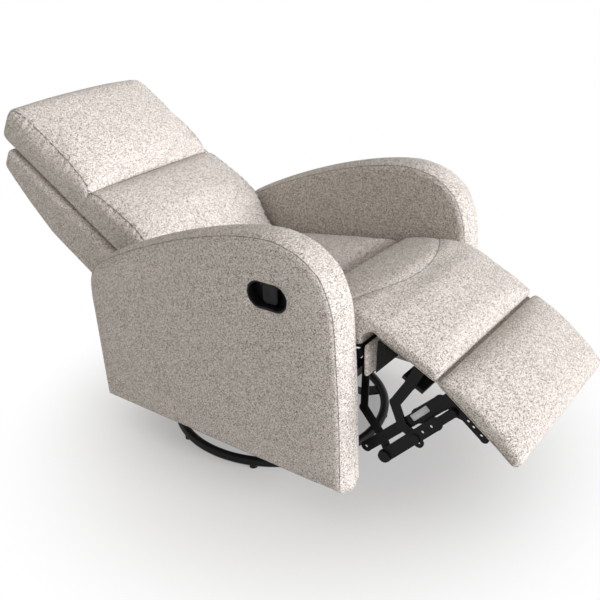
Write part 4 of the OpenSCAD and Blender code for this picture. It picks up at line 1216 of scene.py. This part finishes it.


# Painted shadow: from shadow_near out to shadow_far round a point a little forward of the chair, the white share
# grows from shadow_least to all.
shadow_middle, shadow_near, shadow_far, shadow_least = (0.0, 0.12, 0.0), 0.35, 0.92, 0.30
floor_half = 14.0
finish = Finish("studio_floor", Roughness=0.9, Base_Color=(0.86, 0.855, 0.85, 1))
centred = finish.node("ShaderNodeVectorMath", {"operation": "ADD"}, [finish.place(), shadow_middle])
away = finish.node("ShaderNodeVectorMath", {"operation": "LENGTH"}, [centred], "Value")
painted_shadow_range = [away, shadow_near, shadow_far, shadow_least, 1.0]
painted_shadow_fade = finish.node("ShaderNodeMapRange", {"interpolation_type": "SMOOTHSTEP"}, painted_shadow_range)
glow = finish.node("ShaderNodeEmission", None, [(1, 1, 1, 1), 1.0])
plain = Value(finish, finish.shader.outputs[0])
both = finish.node("ShaderNodeMixShader", None, [seen_by_rays(finish) * painted_shadow_fade, plain, glow])
finish.plug(both, finish.nodes["Material Output"].inputs[0])
mesh = bpy.data.meshes.new("floor")
corners = [(-floor_half, -floor_half, 0), (floor_half, -floor_half, 0), (floor_half, floor_half, 0)]
mesh.from_pydata(corners + [(-floor_half, floor_half, 0)], [], [(0, 1, 2, 3)])
mesh.materials.append(finish.material)
floor = bpy.data.objects.new("floor", mesh)
scene.collection.objects.link(floor)
floor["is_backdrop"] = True
print("floor", 2 * floor_half, "m wide")

# %% [markdown]
# The world is the studio's walls: a weak warm fill from all round, and white where it is looked
# at. A sky picture would bring its own colours, and the cover would no longer render as written.

# %% World
ambient = 0.45
world = bpy.data.worlds.new("studio")
scene.world = world
world.use_nodes = True
sky = Tree(world.node_tree)
sky.nodes.clear()
fill = sky.node("ShaderNodeBackground", None, [(1.0, 0.972, 0.915, 1), ambient])
backdrop = sky.node("ShaderNodeBackground", None, [(1, 1, 1, 1), 1.0])
walls = sky.node("ShaderNodeMixShader", None, [seen_by_rays(sky), fill, backdrop])
sky.node("ShaderNodeOutputWorld", None, [walls])
print("fill", ambient)

# %% [markdown]
# The key light comes from the front and low, so that the tops of the cushions and the front of
# the arms are bright and the near side is in half shade. An area lamp close by would burn out the
# ottoman, which is nearest to it. A sun with a wide disc is as soft, and lights both ends of the
# chair alike. A weak softbox above lifts the tops.

# %% Lamps
def lamp(name, kind, place, aim, energy):
    light = bpy.data.lights.new(name, kind)
    light.energy = energy
    made = bpy.data.objects.new(name, light)
    made.location = place
    made.rotation_euler = (Vector(aim) - Vector(place)).to_track_quat("-Z", "Y").to_euler()
    scene.collection.objects.link(made)
    return light


key = lamp("key", "SUN", (0.35, -3.9, 1.25), (0, 0, 0.5), 3.8)
key.angle, key.color = math.radians(30), (0.985, 0.985, 1.03)
top = lamp("top", "AREA", (0.0, 0.3, 3.6), (0.0, 0.1, 0.4), 8)
top.shape, top.size, top.size_y = "RECTANGLE", 2.6, 2.6
print("lamps", [light.name for light in (key, top)])

# %% [markdown]
# The camera stands where the photograph was taken, a little over two metres away. Its place
# could be tried by hand. It was worked out from edges of the chair instead, as the three
# directions of its view and a focal length in pixels of an image 600 pixels square.

# %% Camera
image_px = 600
focal_px = 844.9
eye = Vector((-1.63918, -1.29910, 1.36054))
right = Vector((0.58864, -0.80803, -0.02441))
up = Vector((0.36767, 0.24071, 0.89826))
ahead = Vector((0.71994, 0.53773, -0.43878))
lens = bpy.data.cameras.new("camera")
lens.sensor_width = 36.0
lens.lens = focal_px * lens.sensor_width / image_px
camera = bpy.data.objects.new("camera", lens)
camera.rotation_euler = Matrix((right, up, -ahead)).transposed().to_quaternion().to_euler()
camera.location = eye
scene.collection.objects.link(camera)
scene.camera = camera
scene.view_settings.view_transform = "Standard"
print("lens", round(lens.lens, 1), "mm")

# %% [markdown]
# Cloth may stand a little proud of the solids and no more. How far the cloth stands proud of
# the solids could be judged by eye, but a few millimetres don't show. So the frame's box and
# the dressed chair's are printed side by side.

# %% Measure and finish
seen_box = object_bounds()
for axis, low_cad, high_cad, low, high in zip("xyz", *cad_box, *seen_box):
    print(axis, "cad", round(low_cad, 4), round(high_cad, 4), "visual", round(low, 4), round(high, 4))
